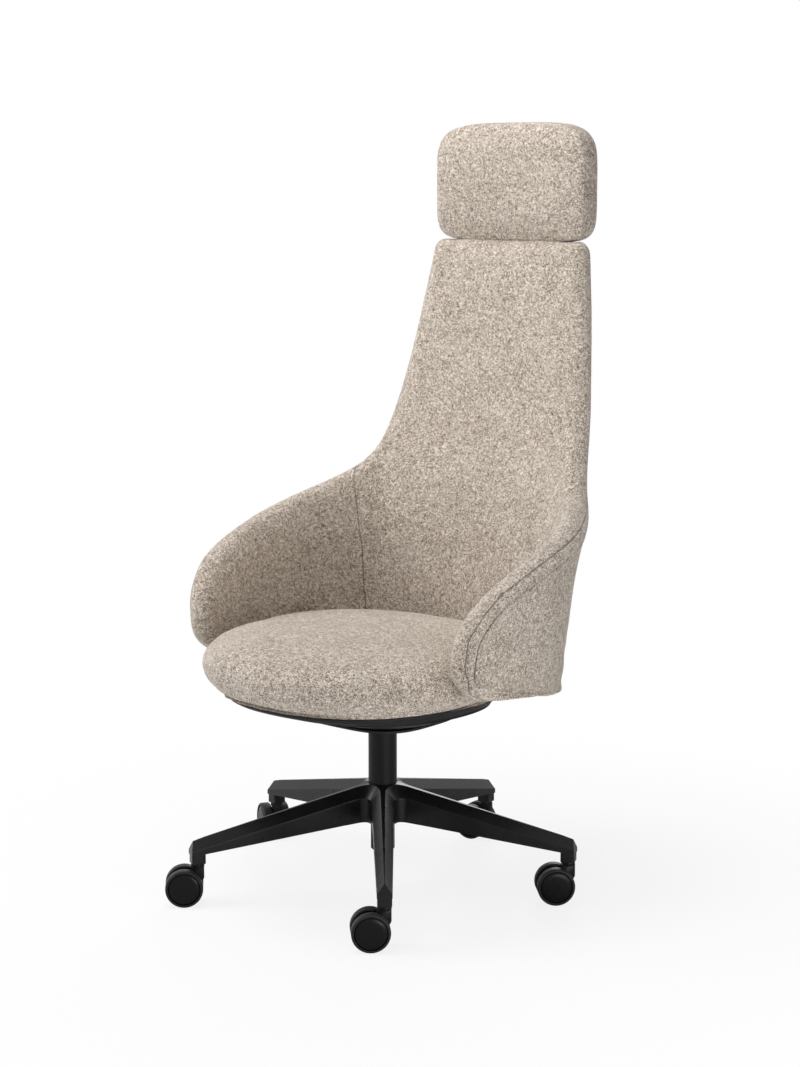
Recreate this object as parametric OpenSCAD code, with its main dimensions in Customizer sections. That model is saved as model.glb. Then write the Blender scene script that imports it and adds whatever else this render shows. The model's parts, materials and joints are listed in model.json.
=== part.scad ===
// Executive office chair: five-arm castor base, gas column, tilt mechanism,
// round seat cushion, high back with wrapping arms, and a sliding headrest.
// The sitter faces -Y. The origin lies on the floor under the column.

/* [Castors] */
// Diameter of a castor wheel over its tread
wheel_d = 65; // [56:1:72]
// Width of one castor wheel
wheel_w = 17.4; // [14:0.2:20]
// Thickness of the soft tread
tread_t = 4; // [2:0.5:6]
// Gap between the two wheels of a castor
wheel_gap = 15; // [14.5:0.5:20]
// Level distance from the castor's stem to its axle
castor_trail = 23.4; // [18:0.2:28]
// Diameter of the castor's axle
castor_axle_d = 6; // [5:0.5:8]
// Diameter of the stem where the castor turns on it
stem_d = 10; // [8:0.5:11]
// Diameter of the stem where the base grips it
stem_grip_d = 11; // [10:0.5:12]
// Height of the stem inside the base
stem_grip_h = 22; // [18:1:26]
// Height of the castor's body over the floor
castor_h = 72.3; // [71:0.1:80]
// Diameter of the collar on top of the castor's body
collar_d = 23; // [20:0.5:25]

/* [Star base] */
// Radius of the circle through the five castor stems
stem_circle_r = 335; // [300:5:360]
// Turn of the first arm from straight ahead
arm_turn = 40.5; // [0:0.5:72]
// Width of an arm at the hub
arm_root_w = 39; // [34:1:46]
// Width of an arm at its tip
arm_tip_w = 25.5; // [24:0.5:30]
// Width of the flat along the top of an arm, at the hub
arm_flat_w = 9; // [4:1:14]
// Height of the arm's end over the castor's post
arm_tip_h = 39.4; // [34:0.2:46]
// Depth of the roof-shaped flanks of an arm
roof_drop = 17; // [12:1:22]
// Height of the hub's top over the floor
hub_top_z = 186.5; // [180:0.5:195]
// Height of the hub
hub_h = 63.5; // [56:0.5:70]
// Diameter of the hub at its top
hub_d = 66; // [62:1:74]

/* [Column] */
// Diameter of the column tube
column_d = 50; // [46:1:54]
// Diameter of the tube's lower end
column_low_d = 42; // [40:1:44]
// Height of the tube's lower end over the floor
column_low_z = 64; // [50:1:80]
// Wall of the column tube
column_wall = 2; // [1.5:0.5:3]
// Diameter of the gas cylinder
cylinder_d = 28; // [26:1:30]
// Diameter of the piston rod
rod_d = 10; // [8:1:12]
// Travel of the gas column
lift_h = 100; // [60:5:100]

/* [Mechanism] */
// Height of the mechanism's underside over the floor, seat down
mech_z = 305; // [300:1:315]
// Width of the mechanism
mech_w = 232; // [228:2:240]
// Reach of the mechanism's housing ahead of the column
mech_front = 60; // [58:1:66]
// Reach of the mechanism's housing behind the column
mech_rear = 71; // [64:1:76]
// Reach of the mechanism's cover ahead of and behind the column
cover_reach = 116; // [110:1:118]
// Wall of the mechanism's housing
mech_wall = 4; // [3:0.5:5]
// Distance of the tilt axle ahead of the column
axle_front = 38; // [37:0.5:41]
// Diameter of the tilt axle
tilt_axle_d = 12; // [10:0.5:13]

/* [Seat] */
// Height of the seat cushion's underside over the floor
seat_z = 366; // [360:1:376]
// Width of the seat cushion
seat_w = 542; // [500:2:600]
// Thickness of the seat cushion
seat_t = 104; // [80:1:110]
// Reach of the cushion ahead of its widest line
seat_front = 286; // [250:2:300]
// Reach of the cushion behind its widest line
seat_rear = 240; // [200:2:242]
// Distance of the cushion's widest line ahead of the column
seat_shift = 37; // [36:1:60]
// Thickness of the seat board
board_t = 8; // [6:0.5:10]
// Wall of the seat pan
pan_wall = 3; // [2:0.5:4]

/* [Back] */
// Distance of the back's curve outside the seat cushion's side
arm_out = 49; // [47:1:65]
// Depth of the back's curve
back_depth = 272; // [260:1:280]
// Distance of the back's foot behind the column
back_foot_y = 239; // [236:1:260]
// Distance that the back leans rearward by its top
back_lean = 134; // [120:1:150]
// Height of the back's top over the seat cushion's underside
back_h = 753.5; // [740:0.5:800]
// Thickness of the back and arms with their padding
back_t = 48; // [44:1:54]
// Thickness of the moulded shell inside the back
shell_t = 9; // [8:0.5:10]

/* [Headrest] */
// Width of the headrest
head_w = 334; // [300:2:350]
// Height of the headrest
head_h = 210; // [180:2:230]
// Thickness of the headrest
head_t = 70; // [62:1:80]
// Gap between the headrest and the back
head_gap = 1; // [1:0.5:8]
// Thickness of the headrest's steel blade
blade_t = 5; // [4:0.5:6]
// Width of the headrest's steel blade
blade_w = 56; // [40:1:60]
// Travel of the headrest
head_travel = 60; // [40:5:60]

/* [Hidden] */
CASTOR_PARTS = ["housing", "axle", "wheel_left", "wheel_right", "tread_left", "tread_right"];
arm_count = 5;

black = "#1b1c1e";
dark = "#2a2b2e";
steel = "#9a9da1";
rubber = "#141414";
wool = "#b0a08c";
wool_dark = "#a2927f";
$fn = 64;

// Clearances, each measured on one side
run_gap = 0.05;
press_gap = 0.02;
soft_gap = 0.3;
layer_gap = 0.6;
cut = 1;

// Functions

function lerp(a, b, t) = a + (b - a) * t;
function unit(v) = v / norm(v);
function clamp01(x) = max(0, min(1, x));
function smooth(x) = let (t = clamp01(x)) t * t * (3 - 2 * t);

// Slope of a smooth curve through the points (xs, ys) at point i
function knot_slope(xs, ys, i) =
    let (last = len(xs) - 1)
    i == 0 ? (ys[1] - ys[0]) / (xs[1] - xs[0]) :
    i == last ? (ys[last] - ys[last - 1]) / (xs[last] - xs[last - 1]) :
    let (h0 = xs[i] - xs[i - 1], h1 = xs[i + 1] - xs[i],
         d0 = (ys[i] - ys[i - 1]) / h0, d1 = (ys[i + 1] - ys[i]) / h1)
    (d0 * h1 + d1 * h0) / (h0 + h1);

function knot_before(xs, x, i = 0) =
    (i >= len(xs) - 2 || x < xs[i + 1]) ? i : knot_before(xs, x, i + 1);

// Smooth curve through the points (xs, ys), read at x
function curve(xs, ys, x) =
    let (i = knot_before(xs, x), h = xs[i + 1] - xs[i], t = (x - xs[i]) / h,
         m0 = knot_slope(xs, ys, i) * h, m1 = knot_slope(xs, ys, i + 1) * h)
    (2 * pow(t, 3) - 3 * pow(t, 2) + 1) * ys[i] + (pow(t, 3) - 2 * pow(t, 2) + t) * m0
    + (3 * pow(t, 2) - 2 * pow(t, 3)) * ys[i + 1] + (pow(t, 3) - pow(t, 2)) * m1;

// Radius of a unit superellipse of power n at angle a
function squircle(a, n) = pow(pow(abs(cos(a)), n) + pow(abs(sin(a)), n), -1 / n);

// Plan outline: half width w, reach f ahead and r behind its centre line y
function outline(w, f, r, y, n, count = 40) =
    [for (i = [0 : count - 1])
        let (a = (i + 0.5) * 360 / count, q = squircle(a, n))
        [w * q * cos(a), y + (sin(a) > 0 ? r : f) * q * sin(a)]];

function ring(w, f, r, y, n, z, count = 40) = [for (p = outline(w, f, r, y, n, count)) [p.x, p.y, z]];

function quad(a, b, c, d) = [[a, b, c], [a, c, d]];

// Faces between rings of equal size, each ring wound counter-clockwise from above
function ring_faces(rings, size, looped = false) =
    [for (k = [0 : rings - (looped ? 1 : 2)]) for (i = [0 : size - 1])
        let (a = k * size, b = ((k + 1) % rings) * size, j = (i + 1) % size)
        each quad(a + i, b + i, b + j, a + j)];

// Closed body through a list of rings, flat at both ends
module loft(rings) {
    size = len(rings[0]);
    count = len(rings);
    faces = concat(ring_faces(count, size), [[for (i = [0 : size - 1]) i]],
                   [[for (i = [size - 1 : -1 : 0]) (count - 1) * size + i]]);
    polyhedron([for (r = rings) each r], faces, convexity = 6);
}

// Closed shell round an opening, through a loop of rings
module loft_loop(rings) {
    polyhedron([for (r = rings) each r], ring_faces(len(rings), len(rings[0]), true), convexity = 8);
}

// Faces of one grid of points, rows by cols, seen from its front. On a shared border two corners
// are split the other way, so that no triangle has all its points on the border.
function grid_faces(rows, cols, index, flip, shared = false) =
    [for (i = [0 : rows - 2]) for (j = [0 : cols - 2])
        let (a = index[i][j], b = index[i + 1][j], c = index[i + 1][j + 1], d = index[i][j + 1],
             corner = shared && ((i == 0 && j == cols - 2) || (i == rows - 2 && j == 0)))
        each flip ? (corner ? quad(d, c, b, a) : quad(a, d, c, b))
                  : (corner ? quad(b, c, d, a) : quad(a, b, c, d))];

function grid_index(rows, cols, start) =
    [for (i = [0 : rows - 1]) [for (j = [0 : cols - 1]) start + i * cols + j]];

// Body between two grids that share their border
module pillow(front, rear) {
    rows = len(front);
    cols = len(front[0]);
    first = grid_index(rows, cols, 0);
    second = [for (i = [0 : rows - 1]) [for (j = [0 : cols - 1])
        (i == 0 || j == 0 || i == rows - 1 || j == cols - 1) ? first[i][j]
        : rows * cols + (i - 1) * (cols - 2) + j - 1]];
    inner = [for (i = [1 : rows - 2]) for (j = [1 : cols - 2]) rear[i][j]];
    polyhedron(concat([for (r = front) each r], inner),
               concat(grid_faces(rows, cols, first, false, true), grid_faces(rows, cols, second, true, true)),
               convexity = 8);
}

// Body between two grids with walls round their border
module slab(front, rear) {
    rows = len(front);
    cols = len(front[0]);
    f = grid_index(rows, cols, 0);
    b = grid_index(rows, cols, rows * cols);
    m = rows - 1;
    n = cols - 1;
    walls = concat(
        [for (j = [0 : n - 1]) each concat(quad(f[0][j], f[0][j + 1], b[0][j + 1], b[0][j]),
                                           quad(f[m][j + 1], f[m][j], b[m][j], b[m][j + 1]))],
        [for (i = [0 : m - 1]) each concat(quad(f[i + 1][0], f[i][0], b[i][0], b[i + 1][0]),
                                           quad(f[i][n], f[i + 1][n], b[i + 1][n], b[i][n]))]);
    polyhedron(concat([for (r = front) each r], [for (r = rear) each r]),
               concat(grid_faces(rows, cols, f, false), grid_faces(rows, cols, b, true), walls),
               convexity = 8);
}

function rounded_rect(w, d, r, steps = 5) =
    [for (k = [0 : 3]) for (s = [0 : steps])
        let (a = 90 * k + 90 * s / steps, sx = (k == 0 || k == 3) ? 1 : -1, sy = k < 2 ? 1 : -1)
        [sx * (w / 2 - r) + r * cos(a), sy * (d / 2 - r) + r * sin(a)]];

module tube(r_out, r_in, z0, z1) {
    translate([0, 0, z0]) difference() {
        cylinder(r = r_out, h = z1 - z0);
        translate([0, 0, -cut]) cylinder(r = r_in, h = z1 - z0 + 2 * cut);
    }
}

// Round bar along X from x0 to x1
module bar_x(d, x0, x1, y, z) {
    translate([x0, y, z]) rotate([0, 90, 0]) cylinder(d = d, h = x1 - x0);
}

// Profile of [y, z] points drawn out along X, centred
module profile_x(w, points) {
    translate([-w / 2, 0, 0]) rotate([90, 0, 90]) linear_extrude(w) polygon(points);
}

// Castors

axle_z = wheel_d / 2;
side_gap = 0.5;
body_w = wheel_gap - 2 * side_gap;
castor_turns = [224, 224, 185, 148, 224];
stem_foot_z = axle_z + 16;
boss_d = castor_axle_d + 15;
cap_d_share = 0.81;
cap_dish = 0.8;
edge_r = 2.4;
bore_end = 2;
axle_end_gap = 0.4;

function arm_angle(k) = arm_turn - 90 + k * 360 / arm_count;

// Places its children at castor k, with +X pointing ahead of the trailing wheels
module at_castor(k) {
    a = arm_angle(k);
    translate([stem_circle_r * cos(a), stem_circle_r * sin(a), 0]) rotate(castor_turns[k] + 180) children();
}

module castor_housing(k) {
    neck = collar_d / 2;
    waist_z = axle_z + 14.5;
    toe = 2.5;
    color(black) at_castor(k) difference() {
        union() {
            rotate([90, 0, 0]) translate([0, 0, -body_w / 2]) linear_extrude(body_w)
                polygon([[-neck, castor_h - edge_r], [neck - cap_dish, castor_h - edge_r],
                         [neck - cap_dish, waist_z], [toe, axle_z - toe],
                         [-castor_trail, axle_z - boss_d / 2], [-castor_trail, axle_z + boss_d / 2]]);
            translate([-castor_trail, body_w / 2, axle_z]) rotate([90, 0, 0])
                cylinder(d = boss_d, h = body_w);
            translate([0, 0, wheel_d + cap_dish]) cylinder(d = collar_d, h = castor_h - wheel_d - cap_dish);
        }
        translate([0, 0, stem_foot_z - side_gap]) cylinder(r = stem_d / 2 + run_gap, h = castor_h);
        translate([-castor_trail, body_w / 2 + cut, axle_z]) rotate([90, 0, 0])
            cylinder(r = castor_axle_d / 2 + press_gap, h = body_w + 2 * cut);
    }
}

module castor_axle(k) {
    half = wheel_gap / 2 + wheel_w - bore_end - axle_end_gap;
    color(steel) at_castor(k) translate([-castor_trail, half, axle_z]) rotate([90, 0, 0])
        cylinder(d = castor_axle_d, h = 2 * half);
}

// A wheel stands on its side: its outer face is at z = wheel_w
module castor_wheel(k, side) {
    core_r = wheel_d / 2 - tread_t;
    cap_r = cap_d_share * wheel_d / 2;
    color(black) at_castor(k) translate([-castor_trail, side * wheel_gap / 2, axle_z])
        rotate([-side * 90, 0, 0])
        rotate_extrude() polygon([
            [castor_axle_d / 2 + run_gap, 0], [core_r, 0], [core_r, wheel_w - cap_dish],
            [cap_r, wheel_w - cap_dish], [cap_r - cap_dish, wheel_w - 2 * cap_dish],
            [cap_r / 2, wheel_w - cap_dish], [0, wheel_w - cap_dish / 2], [0, wheel_w - bore_end],
            [castor_axle_d / 2 + run_gap, wheel_w - bore_end]]);
}

module castor_tread(k, side) {
    core_r = wheel_d / 2 - tread_t + press_gap;
    r = wheel_d / 2;
    arc = [for (s = [0 : 3]) [r - edge_r + edge_r * cos(30 * s), wheel_w - edge_r + edge_r * sin(30 * s)]];
    color(rubber) at_castor(k) translate([-castor_trail, side * wheel_gap / 2, axle_z])
        rotate([-side * 90, 0, 0])
            rotate_extrude()
                polygon(concat([[core_r, 0], [r - edge_r, 0], [r, edge_r]], arc, [[core_r, wheel_w]]));
}

// Star base

post_z = castor_h + soft_gap;
hub_z = hub_top_z - hub_h;
arm_start_r = hub_d / 2 - 3;
arm_end_r = stem_circle_r + arm_tip_w / 2;
arm_end_lean = 4.5;
arm_under_h = 14.4;
post_w = arm_tip_w - 1;
post_r = 4;
taper_gap = press_gap;
taper_top_r = column_d / 2;
taper_low_r = column_low_d / 2 + 1;
hub_low_d = hub_d + 8;

// Section of an arm: r at its foot, lean inward at the ridge, flat width, full width, heights
function arm_section(r, lean, flat, w, top, drop, low) =
    [[r - lean, flat / 2, top], [r - lean, -flat / 2, top], [r, -w / 2, top - drop],
     [r, -w / 2, low], [r, w / 2, low], [r, w / 2, top - drop]];

module arm() {
    tip_flat = 1.2;
    root = arm_section(arm_start_r, 0, arm_flat_w, arm_root_w, hub_top_z - soft_gap, roof_drop,
                       hub_z + soft_gap);
    tip = arm_section(arm_end_r, arm_end_lean, tip_flat, arm_tip_w, post_z + arm_tip_h, roof_drop,
                      post_z + arm_under_h);
    sides = [for (i = [0 : 5]) let (j = (i + 1) % 6) each quad(i, j, 6 + j, 6 + i)];
    caps = [[5, 4, 3, 2, 1, 0], [6, 7, 8, 9, 10, 11]];
    polyhedron(concat(root, tip), concat([for (f = sides) [f[2], f[1], f[0]]],
                                         [for (c = caps) [for (i = [5 : -1 : 0]) c[i]]]), convexity = 3);
}

module base_star() {
    color(black) difference() {
        union() {
            for (k = [0 : arm_count - 1]) rotate(arm_angle(k)) {
                arm();
                translate([stem_circle_r, 0, post_z]) linear_extrude(arm_tip_h - roof_drop)
                    polygon(rounded_rect(post_w, post_w, post_r));
            }
            translate([0, 0, hub_z]) cylinder(d1 = hub_low_d, d2 = hub_d, h = hub_h);
        }
        translate([0, 0, hub_z])
            cylinder(r1 = taper_low_r + taper_gap, r2 = taper_top_r + taper_gap, h = hub_h);
        translate([0, 0, hub_z - cut]) cylinder(r = taper_low_r + taper_gap, h = 2 * cut);
        translate([0, 0, hub_top_z - cut]) cylinder(r = taper_top_r + taper_gap, h = 2 * cut);
        for (k = [0 : arm_count - 1]) rotate(arm_angle(k)) translate([stem_circle_r, 0, post_z - cut])
            cylinder(r = stem_grip_d / 2 + press_gap, h = stem_grip_h + cut + side_gap);
    }
}

module castor_stems() {
    ring_h = 3;
    ring_z = post_z + stem_grip_h * 0.6;
    color(steel) for (k = [0 : arm_count - 1]) at_castor(k) difference() {
        union() {
            translate([0, 0, stem_foot_z]) cylinder(d = stem_d, h = post_z + stem_grip_h - stem_foot_z);
            translate([0, 0, post_z]) cylinder(d = stem_grip_d, h = stem_grip_h);
        }
        tube(stem_grip_d, stem_d / 2 - side_gap, ring_z, ring_z + ring_h);
    }
}

// Column

column_top_z = mech_z + 1;
tube_floor_t = 4;
low_end_h = 3;
bush_h = 85;
flange_t = 2;
tube_in_r = column_d / 2 - column_wall;
low_in_r = column_low_d / 2 - column_wall;
cylinder_low_z = column_low_z + 31;
cylinder_top_z = mech_z + 26;
cone_z = mech_z + 4;
seal_t = 9;
chamber_r = cylinder_d / 2 - 2;
chamber_top_z = mech_z + 2;
button_d = 8;
button_h = 18;
button_rise = 3.6;
button_travel = 3.3;
piston_t = 10;
piston_z = cylinder_low_z + seal_t + lift_h + 8;
collar_r = rod_d / 2 + 4;
bearing_t = 8;
floor_top_z = column_low_z + tube_floor_t;
cone_share = 0.955;

module column_tube() {
    color(black) rotate_extrude() polygon([
        [rod_d / 2 + run_gap, column_low_z], [column_low_d / 2 - low_end_h, column_low_z],
        [column_low_d / 2, column_low_z + low_end_h], [column_low_d / 2, hub_z - low_end_h],
        [taper_low_r, hub_z],
        [taper_top_r, hub_top_z], [taper_top_r, column_top_z], [tube_in_r, column_top_z],
        [tube_in_r, hub_top_z], [low_in_r, hub_z], [low_in_r, floor_top_z],
        [rod_d / 2 + run_gap, floor_top_z]]);
}

module column_bush() {
    color(dark) {
        tube(tube_in_r - press_gap, cylinder_d / 2 + run_gap, column_top_z - bush_h, column_top_z);
        tube(column_d / 2 - side_gap, cylinder_d / 2 + run_gap, column_top_z, column_top_z + flange_t);
    }
}

module thrust_bearing() {
    ball_r = 1.8;
    race_r = rod_d / 2 + 4.4;
    race_t = 2.4;
    out_r = low_in_r - side_gap;
    in_r = rod_d / 2 + 2 * run_gap;
    color(steel) {
        tube(out_r, in_r, floor_top_z, floor_top_z + race_t);
        tube(out_r, in_r, floor_top_z + bearing_t - race_t, floor_top_z + bearing_t);
        for (a = [0 : 45 : 315]) rotate(a) translate([race_r, 0, floor_top_z + bearing_t / 2])
            sphere(r = ball_r, $fn = 24);
    }
}

module piston_rod() {
    rod_low = column_low_z - 5;
    color(steel) {
        translate([0, 0, rod_low]) cylinder(d = rod_d, h = piston_z - rod_low);
        translate([0, 0, floor_top_z + bearing_t + run_gap]) cylinder(r = collar_r, h = seal_t / 3);
        translate([0, 0, piston_z]) cylinder(r = chamber_r - run_gap, h = piston_t);
    }
}

module rod_clip() {
    clip_t = 2;
    top = column_low_z - run_gap;
    color(steel) tube(collar_r, rod_d / 2 + press_gap, top - clip_t, top);
}

module gas_cylinder() {
    r = cylinder_d / 2;
    color(dark) rotate_extrude() polygon([
        [rod_d / 2 + run_gap, cylinder_low_z], [r, cylinder_low_z], [r, cone_z],
        [r * cone_share, cylinder_top_z],
        [button_d / 2 + run_gap, cylinder_top_z], [button_d / 2 + run_gap, cone_z + 2],
        [0, cone_z + 2], [0, chamber_top_z], [chamber_r, chamber_top_z],
        [chamber_r, cylinder_low_z + seal_t], [rod_d / 2 + run_gap, cylinder_low_z + seal_t]]);
}

module release_button() {
    color(steel) translate([0, 0, cylinder_top_z + button_rise - button_h])
        cylinder(d = button_d, h = button_h);
}

// Mechanism

cover_t = 4.5;
cover_step = 2;
box_z = mech_z + cover_t + soft_gap;
mech_round = 3.2;
housing_inset = 4;
axle_y = -axle_front;
axle_z0 = mech_z + 26;
housing_top_z = mech_z + 42;
housing_rear_z = mech_z + 24;
slope_y = -10;
lift_rod_y = -24;
lock_rod_y = -axle_front - 6;
rod_z = mech_z + 10.5;
lever_rod_d = 8;
boss_r = 17.5;
boss_z1 = mech_z + 24;
rib_t = 6;
sleeve_r = 11.5;
sleeve_in_x = 22;
sleeve_out_x = 56;
rib_x = sleeve_out_x + side_gap + mech_wall;
mech_half = mech_w / 2;
lever_reach = 205;
lock_reach = 178;

module mech_plan(inset, front, rear, z0, z1) {
    translate([0, 0, z0]) linear_extrude(z1 - z0)
        polygon(outline(mech_half - inset, front - inset, rear - inset, 0, mech_round, 64));
}

module housing_block(inset, low) {
    intersection() {
        mech_plan(housing_inset + inset, mech_front, mech_rear, low, housing_top_z);
        profile_x(mech_w, [[-mech_front, low], [mech_rear, low], [mech_rear, housing_rear_z - inset],
                           [slope_y, housing_top_z - inset], [-mech_front, housing_top_z - inset]]);
    }
}

module tilt_housing() {
    color(dark) difference() {
        union() {
            difference() {
                housing_block(0, box_z);
                housing_block(mech_wall, box_z - cut);
            }
            translate([0, 0, box_z]) cylinder(r = boss_r, h = boss_z1 - box_z);
            intersection() {
                housing_block(mech_wall / 2, box_z);
                union() {
                    translate([-mech_half, -rib_t / 2, box_z]) cube([mech_w, rib_t, boss_z1 - box_z - rib_t]);
                    translate([-rib_t / 2, 0, box_z]) cube([rib_t, mech_rear, boss_z1 - box_z - rib_t]);
                }
            }
            intersection() {
                housing_block(mech_wall / 2, box_z);
                for (s = [-1, 1]) translate([s * rib_x - mech_wall, axle_y - sleeve_r, box_z])
                    cube([2 * mech_wall, 2 * sleeve_r, housing_top_z]);
            }
        }
        translate([0, 0, mech_z]) cylinder(r = cylinder_d / 2 + press_gap, h = cone_z - mech_z);
        translate([0, 0, cone_z]) cylinder(r1 = cylinder_d / 2 + press_gap,
            r2 = cylinder_d / 2 * cone_share + press_gap, h = cylinder_top_z - cone_z);
        bar_x(tilt_axle_d + 2 * run_gap, -mech_w, mech_w, axle_y, axle_z0);
        bar_x(lever_rod_d + 2 * run_gap, -mech_w, -sleeve_in_x, lift_rod_y, rod_z);
        bar_x(lever_rod_d + 2 * run_gap, -mech_w, -sleeve_out_x, lock_rod_y, rod_z);
    }
}

module tilt_cover() {
    hole_r = column_d / 2 + 2;
    color(black) difference() {
        union() {
            mech_plan(0, cover_reach, cover_reach, mech_z + cover_step, mech_z + cover_t);
            mech_plan(cover_step, cover_reach, cover_reach, mech_z, mech_z + cover_step);
        }
        translate([0, 0, mech_z - cut]) cylinder(r = hole_r, h = cover_t + 2 * cut);
    }
}

flange_x = mech_half - housing_inset + 2.5;
plate_t = 3.7;
plate_z = seat_z - board_t - soft_gap - plate_t;
axle_half = flange_x + plate_t + 3;

module tilt_axle() {
    head_t = 2;
    color(steel) {
        bar_x(tilt_axle_d, -axle_half, axle_half, axle_y, axle_z0);
        for (s = [-1, 1]) bar_x(tilt_axle_d + 2 * head_t, s > 0 ? axle_half - head_t : -axle_half,
                                s > 0 ? axle_half : head_t - axle_half, axle_y, axle_z0);
    }
}

module tilt_spring() {
    color(rubber) for (s = [-1, 1]) difference() {
        bar_x(2 * sleeve_r, s > 0 ? sleeve_in_x : -sleeve_out_x, s > 0 ? sleeve_out_x : -sleeve_in_x,
              axle_y, axle_z0);
        bar_x(tilt_axle_d + 2 * run_gap, -mech_half, mech_half, axle_y, axle_z0);
    }
}

paddle_t = 5;

// Flat paddle with rounded corners, from x0 to x1 and y0 to y1, centred on the rod's height
module paddle(x0, x1, y0, y1) {
    corner_r = 5;
    translate([(x0 + x1) / 2, (y0 + y1) / 2, rod_z - paddle_t / 2]) linear_extrude(paddle_t)
        polygon(rounded_rect(x1 - x0, y1 - y0, corner_r));
}

module height_lever() {
    finger_t = 3;
    finger_w = 9;
    finger_y = 3;
    finger_z = cylinder_top_z + button_rise + soft_gap;
    paddle_front = 62;
    paddle_out = 20;
    paddle_in = 12;
    color(black) {
        bar_x(lever_rod_d, -lever_reach, finger_w / 2, lift_rod_y, rod_z);
        paddle(-lever_reach - paddle_out, -lever_reach + paddle_in, -paddle_front,
               lift_rod_y + lever_rod_d / 2);
        profile_x(finger_w, [[lift_rod_y - finger_t / 2, rod_z], [lift_rod_y + finger_t / 2, rod_z],
            [lift_rod_y + finger_t / 2, finger_z], [finger_y, finger_z],
            [finger_y, finger_z + finger_t], [lift_rod_y - finger_t / 2, finger_z + finger_t]]);
    }
}

module tilt_lever() {
    cam_d = 10;
    cam_x = 18;
    cam_w = 8;
    paddle_front = 88;
    paddle_w = 30;
    color(black) {
        bar_x(lever_rod_d, -lock_reach, cam_w - cam_x, lock_rod_y, rod_z);
        bar_x(cam_d, -cam_x, cam_w - cam_x, lock_rod_y, rod_z);
        paddle(-lock_reach, paddle_w - lock_reach, -paddle_front, lock_rod_y + lever_rod_d / 2);
    }
}

// Seat

plate_front = 95;
plate_rear = 116;
screw_x = 108;
screw_y0 = -76;
screw_y1 = 80;
screw_d = 6;
head_d = 11;
head_h_screw = 3.4;
bracket_w = 100;
bracket_t = 6;
bracket_front = 84;
bracket_screw_x = 32;
bracket_screw_y = 102;
plan_n = 2.25;

function seat_outline(grow, count = 40) =
    outline(seat_w / 2 + grow, seat_front + grow, seat_rear + grow, -seat_shift, plan_n, count);
function seat_ring(grow, z, count = 40) = [for (p = seat_outline(grow, count)) [p.x, p.y, z]];

module screw_places() {
    for (s = [-1, 1]) {
        for (y = [screw_y0, screw_y1]) translate([s * screw_x, y, 0]) children();
        translate([s * bracket_screw_x, bracket_screw_y, -bracket_t - press_gap]) children();
    }
}

module seat_plate() {
    flange_r = 12;
    flange_w = 2 * flange_r;
    corner_r = 18;
    color(dark) difference() {
        union() {
            translate([0, (plate_rear - plate_front) / 2, plate_z]) linear_extrude(plate_t)
                polygon(rounded_rect(2 * (flange_x + plate_t), plate_front + plate_rear, corner_r));
            for (s = [-1, 1]) translate([s > 0 ? flange_x : -flange_x - plate_t, 0, 0]) {
                translate([0, axle_y - flange_r, axle_z0])
                    cube([plate_t, flange_w, plate_z + plate_t / 2 - axle_z0]);
                bar_x(2 * flange_r, 0, plate_t, axle_y, axle_z0);
            }
        }
        bar_x(tilt_axle_d + 2 * press_gap, -mech_w, mech_w, axle_y, axle_z0);
        screw_places() translate([0, 0, plate_z - cut])
            cylinder(r = screw_d / 2 + press_gap, h = plate_t + bracket_t + 2 * cut);
    }
}

board_inset = 52;

module seat_board() {
    color("#b89a6c") difference() {
        translate([0, 0, seat_z - board_t - soft_gap]) linear_extrude(board_t)
            polygon(seat_outline(-board_inset, 64));
        screw_places() translate([0, 0, plate_z])
            cylinder(r = screw_d / 2 + press_gap, h = plate_t + board_t - flange_t + bracket_t);
    }
}

module frame_screws() {
    color(steel) screw_places() {
        translate([0, 0, plate_z - head_h_screw]) cylinder(d = head_d, h = head_h_screw);
        translate([0, 0, plate_z - cut]) cylinder(d = screw_d, h = plate_t + board_t - 2 * flange_t + cut);
    }
}

// The seat pan: a shallow dish with a flat well, open in the middle for the mechanism
pan_side_in = 59;
pan_front_in = 82;
pan_rear_in = 66;
pan_shift = 34;
pan_rim_in = 42;
pan_edge_in = 46;
well_w = 300;
well_front = 135;
well_rear = 154;
well_shift = 20;
well_round = 2.6;
open_gap = 10;
pan_low_z = mech_z + 19;
pan_rim_z = seat_z - 0.5;
pan_edge_share = 0.8;
pan_turn_share = 0.5;

function pan_ring(grow, z) = ring(seat_w / 2 - pan_side_in + grow, seat_front - pan_front_in + grow,
                                  seat_rear - pan_rear_in + grow, -pan_shift, plan_n, z);
function well_ring(grow, z) = ring(well_w / 2 + grow, well_front + grow, well_rear + grow,
                                   -well_shift, well_round, z);
function open_ring(z) =
    let (reach = cover_reach + open_gap) ring(mech_half + open_gap, reach, reach, 0, mech_round, z);

module seat_pan() {
    t = pan_wall;
    h = pan_rim_z - pan_low_z;
    turn_z = pan_low_z + h * pan_turn_share;
    edge_z = pan_low_z + h * pan_edge_share;
    color(black) difference() {
        loft_loop([
            open_ring(pan_low_z), well_ring(0, pan_low_z), well_ring(t, pan_low_z + t / 3),
            pan_ring(0, turn_z), pan_ring(t, turn_z + t), seat_ring(-pan_edge_in, edge_z),
            seat_ring(-pan_rim_in, pan_rim_z), seat_ring(-pan_rim_in - t, pan_rim_z),
            seat_ring(-pan_edge_in - t, edge_z), pan_ring(-t / 2, turn_z + 2 * t), pan_ring(-t, turn_z + t),
            well_ring(t / 2, pan_low_z + 1.3 * t), well_ring(0, pan_low_z + t),
            open_ring(pan_low_z + t)]);
        translate([-bracket_w / 2 - open_gap / 2, seat_rear / 2, plate_z - bracket_t - 2 * soft_gap - cut])
            cube([bracket_w + open_gap, seat_rear, seat_z]);
    }
}

cushion_drop_shares = [0, 0.02, 0.05, 0.09, 0.2, 0.36, 0.56, 0.74, 0.86, 0.945, 0.985, 1];
cushion_inset_shares = [0.172, 0.15, 0.152, 0.098, 0.034, 0.004, 0, 0.055, 0.19, 0.42, 0.67, 0.84];

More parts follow.
